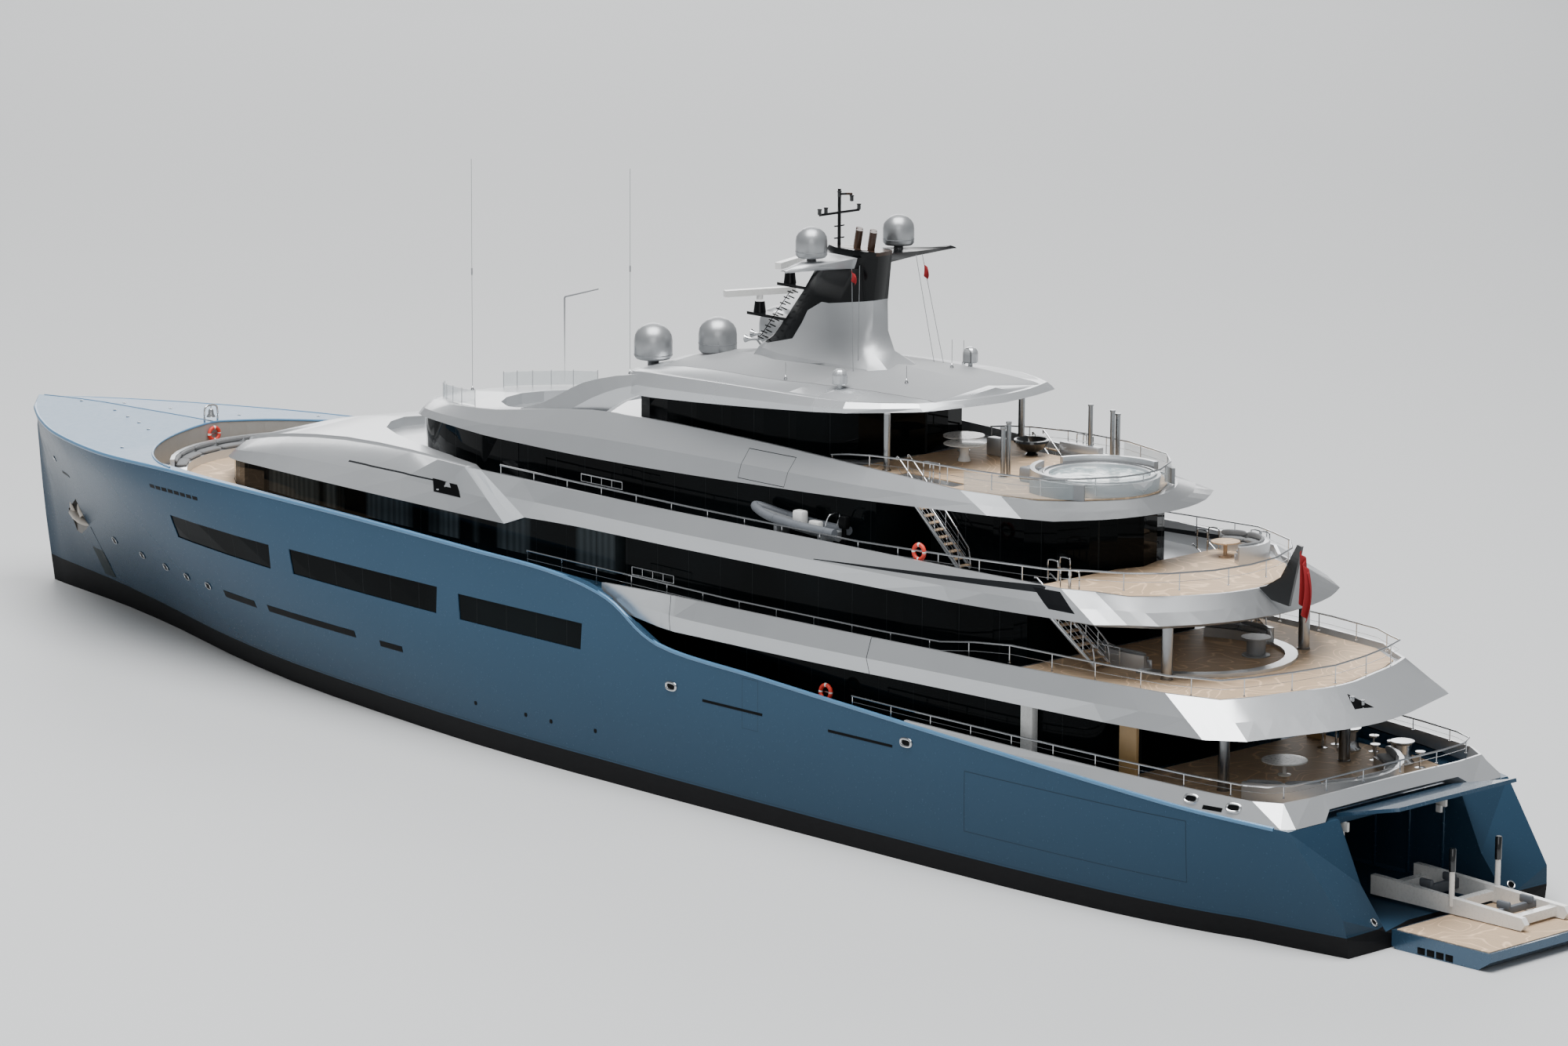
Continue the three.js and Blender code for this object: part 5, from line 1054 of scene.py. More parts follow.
def flight(row):
    """Open flight: treads between two slanting side plates, with two hand rails."""
    steps = row["steps"]
    run, rise = (row["x0"] - row["x1"]) / steps, (row["head"] - row["foot"]) / steps
    treads = [slab((row["x1"] + run * i, row["y0"] + 0.06, row["foot"] + rise * (i + 1) - 0.05),
                   (row["x1"] + run * (i + 1.12), row["y1"] - 0.06, row["foot"] + rise * (i + 1)),
                   0.02) for i in range(steps - 1)]
    foot = np.array([row["x1"] + 0.05, 0, row["foot"] + 0.12])
    head = np.array([row["x0"] - 0.05, 0, row["head"] - 0.02])
    metal = []
    for y in (row["y0"] + 0.03, row["y1"] - 0.03):
        line = np.linspace(foot, head, 5) + [0, y, 0]
        metal.append(tube(line, 0.028, 8, flat=4.0))
        rail = catmull([foot + [0, y, 0.02], foot + [0.12, y, 0.75], foot + [0.45, y, 1.2],
                        head + [-0.3, y, 0.8], head + [0.05, y, 0.92]], 6)
        metal.append(tube(rail, 0.032, 8))
        posts = np.linspace(foot, head, 6)[1:-1] + [0, y, 0]
        metal.append(rods(posts, posts + [0, 0, 0.84], 0.018))
        for fall in (0.3, 0.56):
            metal.append(tube(np.linspace(foot + [0.3, 0, 0.22], head, 4)
                              + [0, y, 0.86 - fall], 0.012, 6))
    return treads, metal


class YACHT_OT_stairs(bpy.types.Operator):
    """Open flights with teak treads in place of the solid ones"""

    bl_idname = "yacht.stairs"
    bl_label = "Stairs"

    def execute(self, context):
        for row in STAIRS:
            treads, metal = flight(row)
            for name, side in SIDE_NAMES.items():
                turned = [flipped(p) for p in treads] if side < 0 else treads
                plates = [flipped(p) for p in metal] if side < 0 else metal
                piece(f"{row['name']}_{name}_treads", turned, "teak")
                frame_piece = piece(f"{row['name']}_{name}_sides", plates, "steel")
                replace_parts(frame_piece, f"{row['name']}_{name}")
        return {"FINISHED"}


# Hull fittings
def patch(x0, x1, z0, z1, node="hull", out=0.012, lean=0.0, columns=10, sign=1):
    """
    Flush panel on a node's side: a grid over (x, z) laid on the node and lifted
    by out along its outward direction, closed by a back inside it. Its ends
    slant by lean.
    """
    rows = []
    for u in np.linspace(0, 1, columns):
        front, back = [], []
        for v in (0.0, 0.5, 1.0):
            x = x0 + (x1 - x0) * u + lean * v
            spot, way = on_side(x, z0 + (z1 - z0) * v, sign, node)
            front.append(spot + way * out)
            back.append(spot - way * 0.03)
        rows.append(front + back[::-1])
    return grid(np.array(rows), round_v=True, caps=True)


def oval(x, z, length, height, node="hull", sign=1, lift=0.03):
    """Closed path of a long oval on a node's side: the cosine and sine to the power 0.7."""
    spot, way = on_side(x, z, sign, node)
    ahead = np.cross(way, [0, 0, 1.0])
    ahead /= np.linalg.norm(ahead)
    up = np.cross(ahead, way)
    a = turns(28)
    c, s = power(np.cos(a), 0.7), power(np.sin(a), 0.7)
    return (spot + way * lift + ahead * c[:, None] * length / 2
            + up * s[:, None] * height / 2), spot, way


def disc(path, spot, way, sink):
    """Flat plate inside a closed path, with a short rim."""
    inner = np.stack([path, path - way * 0.02, spot + (path - spot) * 0.97 - way * sink], 0)
    return grid(inner, round_v=True, caps=True)


# Dark strips let into the hull side: x0, x1, z0, z1 and the slant of their ends
STRIPS = [
    (22.2, 25.2, 3.7, 4.04, 0.1), (13.6, 21.0, 3.74, 4.06, 0.1), (9.9, 11.65, 3.66, 3.94, 0.05),
    (-15.2, -11.3, 4.96, 5.08, 0.0), (-23.4, -19.4, 4.98, 5.1, 0.0),
]
# Oval fittings of the hull side: x, z, length, height, distance outside the side, node, and
# the radius and sides of a steel rim. They are port lights, drains, fairleads and a bow light.
OVALS = [
    *((x, z, 0.5, 0.36, 0.04, "hull", (0.022, 6)) for x, z in (
        (38.6, 4.03), (34.85, 4.0), (31.8, 3.98), (29.25, 3.98), (26.9, 3.96))),
    *((x, z, 0.2, 0.2, 0.01, "hull", None) for x, z in (
        (4.6, 2.1), (0.9, 2.2), (-0.9, 2.2), (-4.0, 2.3))),
    *((x, z, 0.62, 0.34, 0.025, node, (0.06, 8)) for x, z, node in (
        (-9.24, 5.32, "hull"), (-24.26, 5.36, "hull"), (-40.29, 5.66, "stern_bulwark"),
        (-42.4, 5.6, "stern_bulwark"))),
    (44.5, 7.38, 0.34, 0.28, 0.03, "hull", (0.03, 6)),
]


class YACHT_OT_hull_fittings(bpy.types.Operator):
    """Strips, port lights, drains, fairleads, plates and moulding of the hull, with painted
    highlights and painted shade
    """

    bl_idname = "yacht.hull_fittings"
    bl_label = "Hull fittings"

    def execute(self, context):
        dark, chrome, plates = [], [], []
        for sign in SIDES:
            for x0, x1, z0, z1, lean in STRIPS:
                dark.append(patch(x0, x1, z0, z1, lean=lean, sign=sign))
            for x in np.arange(25.5, 29.9, 0.55):
                dark.append(patch(x, x + 0.42, 8.72, 8.9, columns=2, sign=sign))
            for x, z, length, height, lift, node, rim in OVALS:
                path, spot, way = oval(x, z, length, height, node, sign, lift)
                dark.append(disc(path, spot, way, 0.03))
                if rim:
                    chrome.append(hoop(path, *rim))
            dark.append(patch(-41.9, -40.95, 5.36, 5.52, "stern_bulwark", sign=sign, columns=4))
            dark.append(patch(42.3, 43.6, 6.78, 6.9, columns=4, sign=sign))
            plates.append(patch(40.6, 41.9, 1.5, 4.1, lean=1.35, sign=sign, columns=5, out=0.015))
        piece("hull_strips", dark, "dark")
        piece("hull_chrome", chrome, "steel")
        piece("anchor_wear_plates", plates, "wear")
        x = np.linspace(-44.4, 49.15, 190)
        line = catmull(HULL_LINES, 6)
        top = np.interp(x, line[:, 0], line[:, 4])
        y = np.maximum(breadth(x, top) - 0.06, 0.01)
        gunwale = tube(np.stack([x, y, top - 0.05], -1), 0.1, 10)
        around = arc_line(WELL, 8.4, (-78, 78), 0, 40)
        around[:, 2] = [on_top(px, py, "hull") for px, py, _ in around]
        around[:, :2] = arc_line(WELL, 8.26, (-78, 78), 0, 40)[:, :2]
        ridge = [(px, 0, on_top(px, 0, "hull") - 0.02) for px in np.linspace(34.6, 48.8, 12)]
        # The gunwale and the well edge are rounded edges, and the ridge tube marks the deck's ridge.
        # All three wear the pale rim blue, a painted highlight.
        piece("hull_gunwale", both([gunwale]) + [tube(around, 0.06, 8), tube(ridge, 0.05, 8)],
              "rim")
        # Painted shade: flat dark patches on the bridge deck side stand for the recesses of the side
        # lights.
        recess = [patch(7.3, 9.3, 11.36, 11.9, "bridge_deck", lean=0.45, sign=s, columns=5)
                  for s in SIDES]
        piece("side_light_recess_shades", recess, "dark")
        return {"FINISHED"}


# Bow and anchors
def anchor(sign):
    """
    Anchor drawn up against the bow: a thick crown bar along the skin, two flat
    flukes that taper up into the pocket and the shank between them. Places are
    (x, z) on the lines of the hull with a distance outside the skin.
    """
    def line(*places):
        x, z, out = np.array(places).T
        return np.stack([x, sign * (breadth(x, z) + out), z], -1)

    crown = line((44.35, 4.6, -0.1), (44.1, 4.5, 0.06), (43.5, 4.38, 0.12), (42.9, 4.28, 0.12),
                 (42.4, 4.2, 0.03), (42.2, 4.16, -0.08))
    flukes = [line((x, 4.5, 0.04), (x + 0.2, 4.8, 0.02), (x + 0.42, 5.1, -0.08))
              for x in (42.75, 43.95)]
    shank = line((43.4, 4.35, 0.0), (43.6, 4.7, -0.25), (43.8, 5.0, -0.6))
    up = np.array([0.25, 0.93 * sign, -0.25])
    return [tube(crown, [0.12, 0.22, 0.25, 0.25, 0.2, 0.1], 12, flat=0.75),
            tube(shank, 0.13, 10),
            *(tube(fluke, [0.26, 0.2, 0.05], 10, flat=0.4, up=up) for fluke in flukes)]


class YACHT_OT_foredeck(bpy.types.Operator):
    """Anchors, the bell on its bracket and small gear of the bow"""

    bl_idname = "yacht.foredeck"
    bl_label = "Bow gear"

    def execute(self, context):
        for name, sign in SIDE_NAMES.items():
            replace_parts(piece(f"bow_anchor_{name}", anchor(sign), "cast"),
                        f"anchor_{name}")
        x, half = 34.75, 0.42
        arch = catmull([(x, -half, 10.2), (x, -half, 10.95), (x, -0.25, 11.2),
                        (x, 0.25, 11.2), (x, half, 10.95), (x, half, 10.2)], 6)
        feet = [lathe([(0.14, -0.03), (0.14, 0.03), (0, 0.03)], (x, y, 10.3)) for y in (-half, half)]
        bell = [(0.0, 0.42), (0.07, 0.42), (0.13, 0.34), (0.15, 0.16), (0.24, 0.0), (0.21, 0.0),
                (0.0, 0.05)]
        piece("bow_bell", [tube(arch, 0.05, 10), lathe(bell[::-1], (x, 0, 10.62), 20),
                           rod((x, 0, 11.04), (x, 0, 11.2), 0.03), *feet], "steel")
        caps = [lathe([(0.09, -0.02), (0.09, 0.03), (0.06, 0.045), (0, 0.05)],
                      (x, y, on_top(x, y, "hull")), 12)
                for x, y in ((45.2, 0.3), (41.55, 0.93), (37.9, 2.2), (36.1, 3.0), (39.6, 1.6),
                             (33.9, 6.4), (40.0, -1.5), (36.2, -3.0), (43.0, -0.8), (33.9, -6.4))]
        piece("foredeck_caps", caps, "steel")
        return {"FINISHED"}


# Sun deck
def post(x, y, foot, head, radius=0.06, cap=0.1):
    """Upright tube with a foot plate and a small head."""
    return [lathe([(cap * 1.5, 0), (cap * 1.5, 0.04), (radius, 0.06), (radius, head - foot - 0.1),
                   (cap, head - foot - 0.08), (cap, head - foot)], (x, y, foot), 14)]


def ribbon(line, low, high, thick):
    """Upright strip of even thickness along a line, from low to high above it."""
    p = np.asarray(line, float)
    low, high = [0, 0, low], [0, 0, high]
    way = np.gradient(p[:, :2], axis=0)
    way /= np.linalg.norm(way, axis=1, keepdims=True)
    side = np.stack([-way[:, 1], way[:, 0], np.zeros(len(p))], -1) * thick / 2
    rings = np.stack([p + side + low, p + side + high, p - side + high, p - side + low], 1)
    return grid(rings, round_v=True, caps=True)


class YACHT_OT_sun_deck(bpy.types.Operator):
    """Counters, tub water, hoist posts, parapet glass and seats of the sun deck"""

    bl_idname = "yacht.sun_deck"
    bl_label = "Sun deck"

    def execute(self, context):
        floor = SUN + TEAK
        oval_top = catmull([(0.0, 0.74), (0.35, 0.745), (0.88, 0.76), (0.95, 0.8), (0.88, 0.83)], 4)
        top = np.array(oval_top)
        cone = [(0.3, 0), (0.3, 0.03), (0.2, 0.3), (0.24, 0.7), (0.34, 0.76), (0, 0.76)]
        white = [lathe(np.vstack([[(0.0, 0.74)], top, [(0.0, 0.83)]]), (-19.3, 0.1, floor), 28),
                 lathe(cone, (-19.3, 0.1, floor), 20)]
        piece("sun_counter", white, "white")
        bowl = [(0.28, 0), (0.3, 0.04), (0.2, 0.12), (0.55, 0.3), (0.82, 0.62), (0.8, 0.72),
                (0.7, 0.74), (0.5, 0.5), (0, 0.42)]
        piece("sun_pod", [lathe(bowl, (-20.4, -3.1, floor), 28)], "black")
        walls = [slab((-23.3, -4.75, floor), (-20.9, -4.35, floor + 0.55), 0.06),
                 slab((-19.9, -2.2, floor), (-18.9, -1.7, floor + 0.8), 0.06)]
        piece("sun_low_walls", walls, "plain_silver")
        corner = [slab((-25.0, 0.9 + k * 0.42, floor), (-24.2, 1.3 + k * 0.42, floor + 0.66), 0.12)
                  for k in range(2)]
        corner.append(ribbon(arc_line(TUB, 3.35, (70, 122), floor, 14), 0, 0.7, 0.16))
        corner.append(ribbon(arc_line(TUB, 3.35, (-122, -108), floor, 6), 0, 0.7, 0.16))
        piece("sun_corner_seats", corner, "grey")
        poles = []
        for x, y, head in ((-23.1, 1.2, 18.5), (-23.1, 1.55, 18.3), (-22.6, -4.6, 18.5),
                           (-24.6, -3.9, 18.6), (-24.6, -4.25, 18.4)):
            poles += post(x, y, floor, head, 0.11, 0.13)
        piece("sun_hoist_posts", poles, "dull_steel")
        ring = arc_line((0, 0), 1.0, (0, 360), 0, 49)[:-1, :2]
        radii = np.array([0.0, 0.5, 1.0, 1.5, 2.0, 2.24])
        wave = 0.02 * np.sin(7 * radii[:, None] + 5 * np.arctan2(ring[:, 1], ring[:, 0])[None])
        level = np.stack([TUB[0] + radii[:, None] * ring[None, :, 0],
                          radii[:, None] * ring[None, :, 1],
                          floor + 0.47 + wave * (radii[:, None] > 0)], -1)
        below = level[-1:] - [0, 0, 0.1]
        piece("tub_water", [grid(np.concatenate([below, level[::-1]]), round_v=True, caps=True)],
              "water")
        rim = arc_line(TUB, 2.48, (0, 360), floor + 0.615, 61)[:-1]
        piece("tub_rim", [hoop(rim, 0.05, 8)], "steel")
        line = [(-24.2, 5.12, 16.1), (-26.0, 4.68, 16.08), (-27.6, 4.22, 16.08),
                (-29.0, 3.0, 16.08), (-29.95, 1.3, 16.08), (-30.15, 0, 16.08)]
        line += [(x, -y, z) for x, y, z in line[-2::-1]]
        piece("sun_parapet_glass", [ribbon(catmull(line, 5), 0.02, 0.84, 0.03)], "clear")
        return {"FINISHED"}


# Mast and roof
class YACHT_OT_mast_gear(bpy.types.Operator):
    """Lamps, horns, ladder, whips, halyards, dome joints and roof parapet"""

    bl_idname = "yacht.mast_gear"
    bl_label = "Mast gear"

    def execute(self, context):
        dark, chrome, thin = [], [], []
        lamp = [(0.05, 0), (0.09, 0.02), (0.09, 0.22), (0.11, 0.24), (0.11, 0.3), (0, 0.33)]
        for x, y, z in ((-11.1, 1.25, 26.35), (-11.1, -1.25, 26.35), (-11.1, 0.85, 26.38),
                        (-11.1, 0, 27.05), (-11.9, 0, 26.95)):
            dark.append(lathe(lamp, (x, y, z), 12))
        for z in (25.2, 25.75):
            dark.append(rod((-11.1, -0.3, z), (-11.1, 0.3, z), 0.04))
        steps = np.linspace(0, 1, 9)[:, None]
        rung = np.array([-7.15, 0.95, 20.15]) + steps * np.array([-1.75, -0.2, 2.3])
        thin.append(rods(rung, rung + [0.22, 0.16, 0.1], 0.03))
        thin.append(rods(rung - [0, 0.3, 0], rung - [-0.28, 0.2, -0.1], 0.03))
        thin.append(tube(rung + [0.2, -0.02, 0.1], 0.02, 6))
        trumpet = np.array([0.05, 0.05, 0.07, 0.12, 0.2])
        for y, z in ((0.55, 19.95), (0.15, 20.15), (-0.35, 19.95)):
            line = np.linspace((-6.35, y, z), (-5.7, y + 0.15, z), 5)
            chrome.append(tube(line, trumpet, 14))
            chrome.append(rod((-6.3, y, z), (-6.6, y, z - 0.25), 0.05))
        chrome.append(lathe([(0.08, 0), (0.08, 0.25), (0.2, 0.3), (0.2, 0.5), (0, 0.52)],
                            (-0.4, 1.2, 18.28), 14))
        whips = []
        for x, y, node, height in ((15.0, -0.58, "sun_deck", 11.4), (-1.3, 3.9, "hardtop", 9.6),
                                   (-16.2, -2.2, "hardtop", 1.3), (-14.6, -4.6, "hardtop", 1.1),
                                   (-17.5, 2.0, "hardtop", 0.8), (-12.0, 4.2, "hardtop", 0.8)):
            foot = on_top(x, y, node)
            whips.append(tube(np.linspace((x, y, foot), (x, y, foot + height), 6), 0.014, 6))
            if height > 5:
                whips.append(rod((x, y, foot + height * 0.5), (x, y, foot + height * 0.53), 0.04, 8))
            chrome.append(lathe([(0.09, 0), (0.09, 0.05), (0.045, 0.12), (0, 0.3)],
                                (x, y, foot), 10))
        foot = on_top(11.44, -3.44, "sun_deck")
        whips.append(tube([(11.44, -3.44, foot), (11.44, -3.44, 19.25), (11.4, -3.44, 19.33),
                           (9.0, -3.44, 20.0)], [0.06, 0.045, 0.045, 0.035], 8))
        piece("whips_and_pole", whips, "whip")
        halyards = rods([(-13.2, 1.25, 24.2), (-13.25, 0.8, 24.25), (-13.15, -2.9, 24.35),
                         (-13.15, -3.3, 24.35)],
                        [(-14.0, 1.9, 19.55), (-13.7, 1.3, 19.66), (-14.1, -3.2, 19.4),
                         (-14.2, -3.7, 19.35)], 0.014, 5)
        piece("masthead_lamps", dark, "black")
        piece("mast_ladder_and_whips", thin, "dark")
        piece("horns_and_feet", chrome, "steel")
        piece("halyards", [halyards], "grey", "black_gloss")
        fence = catmull([(9.6, -3.95, 0), (11.3, -3.5, 0), (12.6, -2.95, 0), (13.6, -2.5, 0),
                         (14.2, -1.9, 0)], 5)
        fence[:, 2] = [on_top(px, py, "sun_deck") for px, py, _ in fence]
        piece("roof_parapet_glass", both([ribbon(fence, 0.06, 0.75, 0.025)]), "clear")
        piece("roof_parapet_posts", both([rods(fence[::4], fence[::4] + [0, 0, 0.82], 0.022)]),
              "steel")
        collars = []
        for node in ("dome_fore", "dome_middle", "dome_after", "dome_wing_port",
                     "dome_wing_starboard"):
            low, high = (np.array(c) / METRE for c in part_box(node))
            middle, radius = (low + high) / 2, (high[0] - low[0]) / 2
            foot = low[2] + 0.28 * (high[2] - low[2])
            loop = arc_line(middle, radius * 1.004, (0, 360), foot, 41)[:-1]
            collars.append(hoop(loop, 0.014, 6))
        piece("dome_joints", collars, "grey")
        return {"FINISHED"}


# Safety gear
RINGS = [
    {"name": "life_ring_bow", "centre": (34.3, 0.16, 9.82), "facing": (-1, 0, 0)},
    {"name": "life_ring_bridge", "centre": (-23.4, 7.06, 13.5), "facing": (0, 1, 0.05)},
    {"name": "life_ring_main", "centre": (-18.6, 8.0, 6.55), "facing": (0, 1, 0.1)},
    {"name": "life_ring_bridge_starboard", "centre": (-23.4, -7.06, 13.5), "facing": (0, -1, 0.05)},
]


def rescue_boat():
    """
    Small boat with inflated tubes: the tube follows a long horseshoe that rises
    to the bow, the bottom is a lofted V between keel and tubes.
    """
    centre_y, base = 6.43, 13.12
    half = np.array([(-17.95, 0.46, 0.34), (-16.8, 0.48, 0.34), (-15.2, 0.48, 0.38),
                     (-13.7, 0.42, 0.5), (-12.75, 0.22, 0.68), (-12.42, 0.0, 0.75)])
    line = np.vstack([half, (half * [1, -1, 1])[-2::-1]])
    line = catmull(line, 6) + [0, centre_y, base]
    tubes = [tube(line, 0.2, 16)]
    patches = [hoop(np.asarray(line[k]) + 0.203 * np.stack([
        np.zeros(20), np.cos(turns(20)), np.sin(turns(20))], -1), 0.012, 5)
        for k in (3, 10, 16, -4, -11, -17)]
    x = np.linspace(-17.8, -12.75, 9)
    t = (x + 17.8) / 5.05
    width = 0.4 * (1 - t ** 3) + 0.004
    keel, chine = base - 0.12 + 0.42 * t ** 2.5, base + 0.2 + 0.4 * t ** 2.5
    section = ((width, chine + 0.12), (width * 0.95, chine - 0.06), (0 * x, keel),
               (-width * 0.95, chine - 0.06), (-width, chine + 0.12))
    rows = np.stack([np.stack([x, centre_y + out, z], -1) for out, z in section], 1)
    bottom = [grid(rows, round_v=True, caps=True)]
    grey = [slab((-15.6, centre_y - 0.24, base + 0.2), (-15.0, centre_y + 0.24, base + 0.95), 0.1),
            slab((-16.6, centre_y - 0.2, base + 0.2), (-16.0, centre_y + 0.2, base + 0.62), 0.08)]
    engine = [slab((-18.35, centre_y - 0.2, base + 0.5), (-17.85, centre_y + 0.2, base + 1.1), 0.14),
              slab((-18.2, centre_y - 0.07, base - 0.15), (-17.98, centre_y + 0.07, base + 0.5),
                   0.04)]
    arch = catmull([(-17.2, centre_y + 0.36, base + 0.3), (-17.45, centre_y + 0.36, base + 1.0),
                    (-17.5, centre_y, base + 1.12), (-17.45, centre_y - 0.36, base + 1.0),
                    (-17.2, centre_y - 0.36, base + 0.3)], 6)
    chocks = [slab((x0 - 0.09, centre_y - 0.42, BRIDGE + 0.01), (x0 + 0.09, centre_y + 0.42,
                                                               base + 0.13), 0.03)
              for x0 in (-16.9, -14.1)]
    return tubes, patches, bottom, grey, engine, [tube(arch, 0.03, 8)], chocks


class YACHT_OT_safety(bpy.types.Operator):
    """Life rings and the rescue boat on its chocks"""

    bl_idname = "yacht.safety"
    bl_label = "Safety gear"

    def execute(self, context):
        for row in RINGS:
            facing = np.array(row["facing"], float)
            facing /= np.linalg.norm(facing)
            side = np.cross([0, 0, 1.0], facing)
            side /= np.linalg.norm(side)
            up = np.cross(facing, side)
            a = turns(40)
            loop = (np.array(row["centre"]) + side * np.cos(a)[:, None] * 0.32
                    + up * np.sin(a)[:, None] * 0.32)
            part = hoop(loop, 0.095, 12)
            piece(row["name"], [part], "ring",
                  attribute=np.repeat(np.arange(40) / 40, 12))
            back = row["centre"] - facing * 0.09
            bracket = rod(back + side * 0.2, back - side * 0.2, 0.03)
            piece(row["name"] + "_bracket", [bracket], "steel")
        tubes, patches, bottom, grey, engine, arch, chocks = rescue_boat()
        piece("rescue_boat_tubes", tubes + patches, "rubber")
        piece("rescue_boat_bottom", bottom, "grey", "black_gloss")
        piece("rescue_boat_console", grey, "white")
        piece("rescue_boat_engine", engine, "dark")
        piece("rescue_boat_arch", arch, "steel")
        piece("rescue_boat_chocks", chocks, "plain_silver")
        return {"FINISHED"}


# Flags
def hanging_cloth(head, width, drop, room, folds, skew):
    """
    Limp cloth held at one upper corner: each row across it is a sine of a few
    folds that falls by a skew towards the free side. Rows gather to a narrow
    room at the head and open a little on the way down, and the height of the
    folds makes every row as long as the cut width.
    """
    s = np.linspace(0, 1, 14 * folds + 1)[None]
    t = np.linspace(0, 1, 26)[:, None]
    wide = room * (0.3 + 0.7 * np.sin(np.pi * np.minimum(1, 0.15 + 0.75 * t)))
    heights = np.linspace(0, width, 300)[:, None]
    fine = np.linspace(0, 1, 600)[None]
    wave = heights * np.sin(fine * folds * 2 * np.pi)

    def lengths(gap):
        run = np.hypot(np.diff(fine * gap), np.diff(fine * skew))
        return np.hypot(run, np.diff(wave)).sum(1)

    gaps = np.linspace(wide.min(), wide.max(), 8)
    height = np.interp(wide[:, 0], gaps,
                       [np.interp(width, lengths(gap), heights[:, 0]) for gap in gaps])[:, None]
    x = head[0] - s * wide
    y = head[1] + height * np.sin(s * folds * 2 * np.pi)
    z = head[2] - drop * t - skew * s
    return grid(np.stack([x, y, z], -1))


class YACHT_OT_flags(bpy.types.Operator):
    """Plain red cloth at the staff and two small ones on the halyards"""

    bl_idname = "yacht.flags"
    bl_label = "Flags"

    def execute(self, context):
        for name, head, width, drop, room, folds, skew in (
                ("ensign", (-39.3, 0.0, 15.05), 1.7, 2.2, 0.55, 2, 0.95),
                ("courtesy_flag", (-13.32, 1.35, 24.1), 0.45, 0.42, 0.3, 1, 0.25),
                ("house_flag", (-13.4, -3.2, 24.0), 0.45, 0.55, 0.3, 1, 0.3)):
            cloth = piece(name, [hanging_cloth(head, width, drop, room, folds, skew)],
                          "red")
            solid = cloth.modifiers.new("thickness", "SOLIDIFY")
            solid.thickness = 0.0004
        return {"FINISHED"}


# Stern
class YACHT_OT_stern(bpy.types.Operator):
    """Platform deck and vents, cradle chocks, garage frames and transom port lights"""

    bl_idname = "yacht.stern"
    bl_label = "Stern and garage"

    def execute(self, context):
        piece("platform_teak", [slab((-53.1, -3.62, 0.79), (-48.15, 3.62, 0.835), 0.015)],
              "teak", body="swim_platform")
        vents = both([slab((x - 0.2, 3.74, 0.05), (x + 0.2, 3.765, 0.34), 0.01)
                      for x in (-49.6 - k * 0.5 for k in range(4))])
        piece("platform_vents", vents, "dark", body="swim_platform")
        caps = [lathe([(0.15, 0), (0.15, 0.95), (0.12, 1.0), (0, 1.0)], (-48.2, y, 2.7), 16)
                for y in (0.2, -2.8)]
        piece("cradle_post_caps", caps, "black", body="tender_cradle")
        chocks = [slab((x - 0.35, y - 0.1, 1.35 if x < -48 else 1.5),
                       (x + 0.35, y + 0.1, 1.72 if x < -48 else 1.86), 0.08)
                  for x in (-50.4, -46.2) for y in (-0.55, -2.05)]
        chocks += [slab((x - 0.12, -2.6, 1.1), (x + 0.12, 0.0, 1.42 if x < -48 else 1.55), 0.04)
                   for x in (-50.4, -46.2)]
        piece("cradle_chocks", chocks, "rubber", body="tender_cradle")
        frames = []
        for x in (-44.3, -42.4, -40.5):
            frames += [slab((x - 0.07, y0, z0), (x + 0.07, y1, z1), 0.02) for y0, y1, z0, z1 in (
                (3.8, 3.89, 0.8, 4.6), (-3.89, -3.8, 0.8, 4.6), (-3.8, 3.8, 4.6, 4.7))]
        piece("garage_frames", frames, "blue")
        brackets = [slab((-45.0, 3.1, 4.3), (-44.45, 3.25, 4.72), 0.03),
                    slab((-44.75, 3.1, 4.0), (-44.45, 3.25, 4.4), 0.03)]
        piece("garage_brackets", both(brackets), "white", "white_paint")
        ports, glass = [], []
        for sign in SIDES:
            spot, way = first_hit("hull", (-55, 4.45 * sign, 1.15), (1, 0, 0))
            side = np.cross(way, [0, 0, 1.0])
            side /= np.linalg.norm(side)
            a = turns(28)[:, None]
            path = spot + way * 0.02 + 0.17 * (side * np.cos(a) + np.cross(side, way) * np.sin(a))
            ports.append(hoop(path, 0.035, 8))
            glass.append(disc(path, spot, way, 0.02))
        piece("transom_ports", ports, "steel")
        piece("transom_port_glass", glass, "dark", "dark_glass")
        return {"FINISHED"}


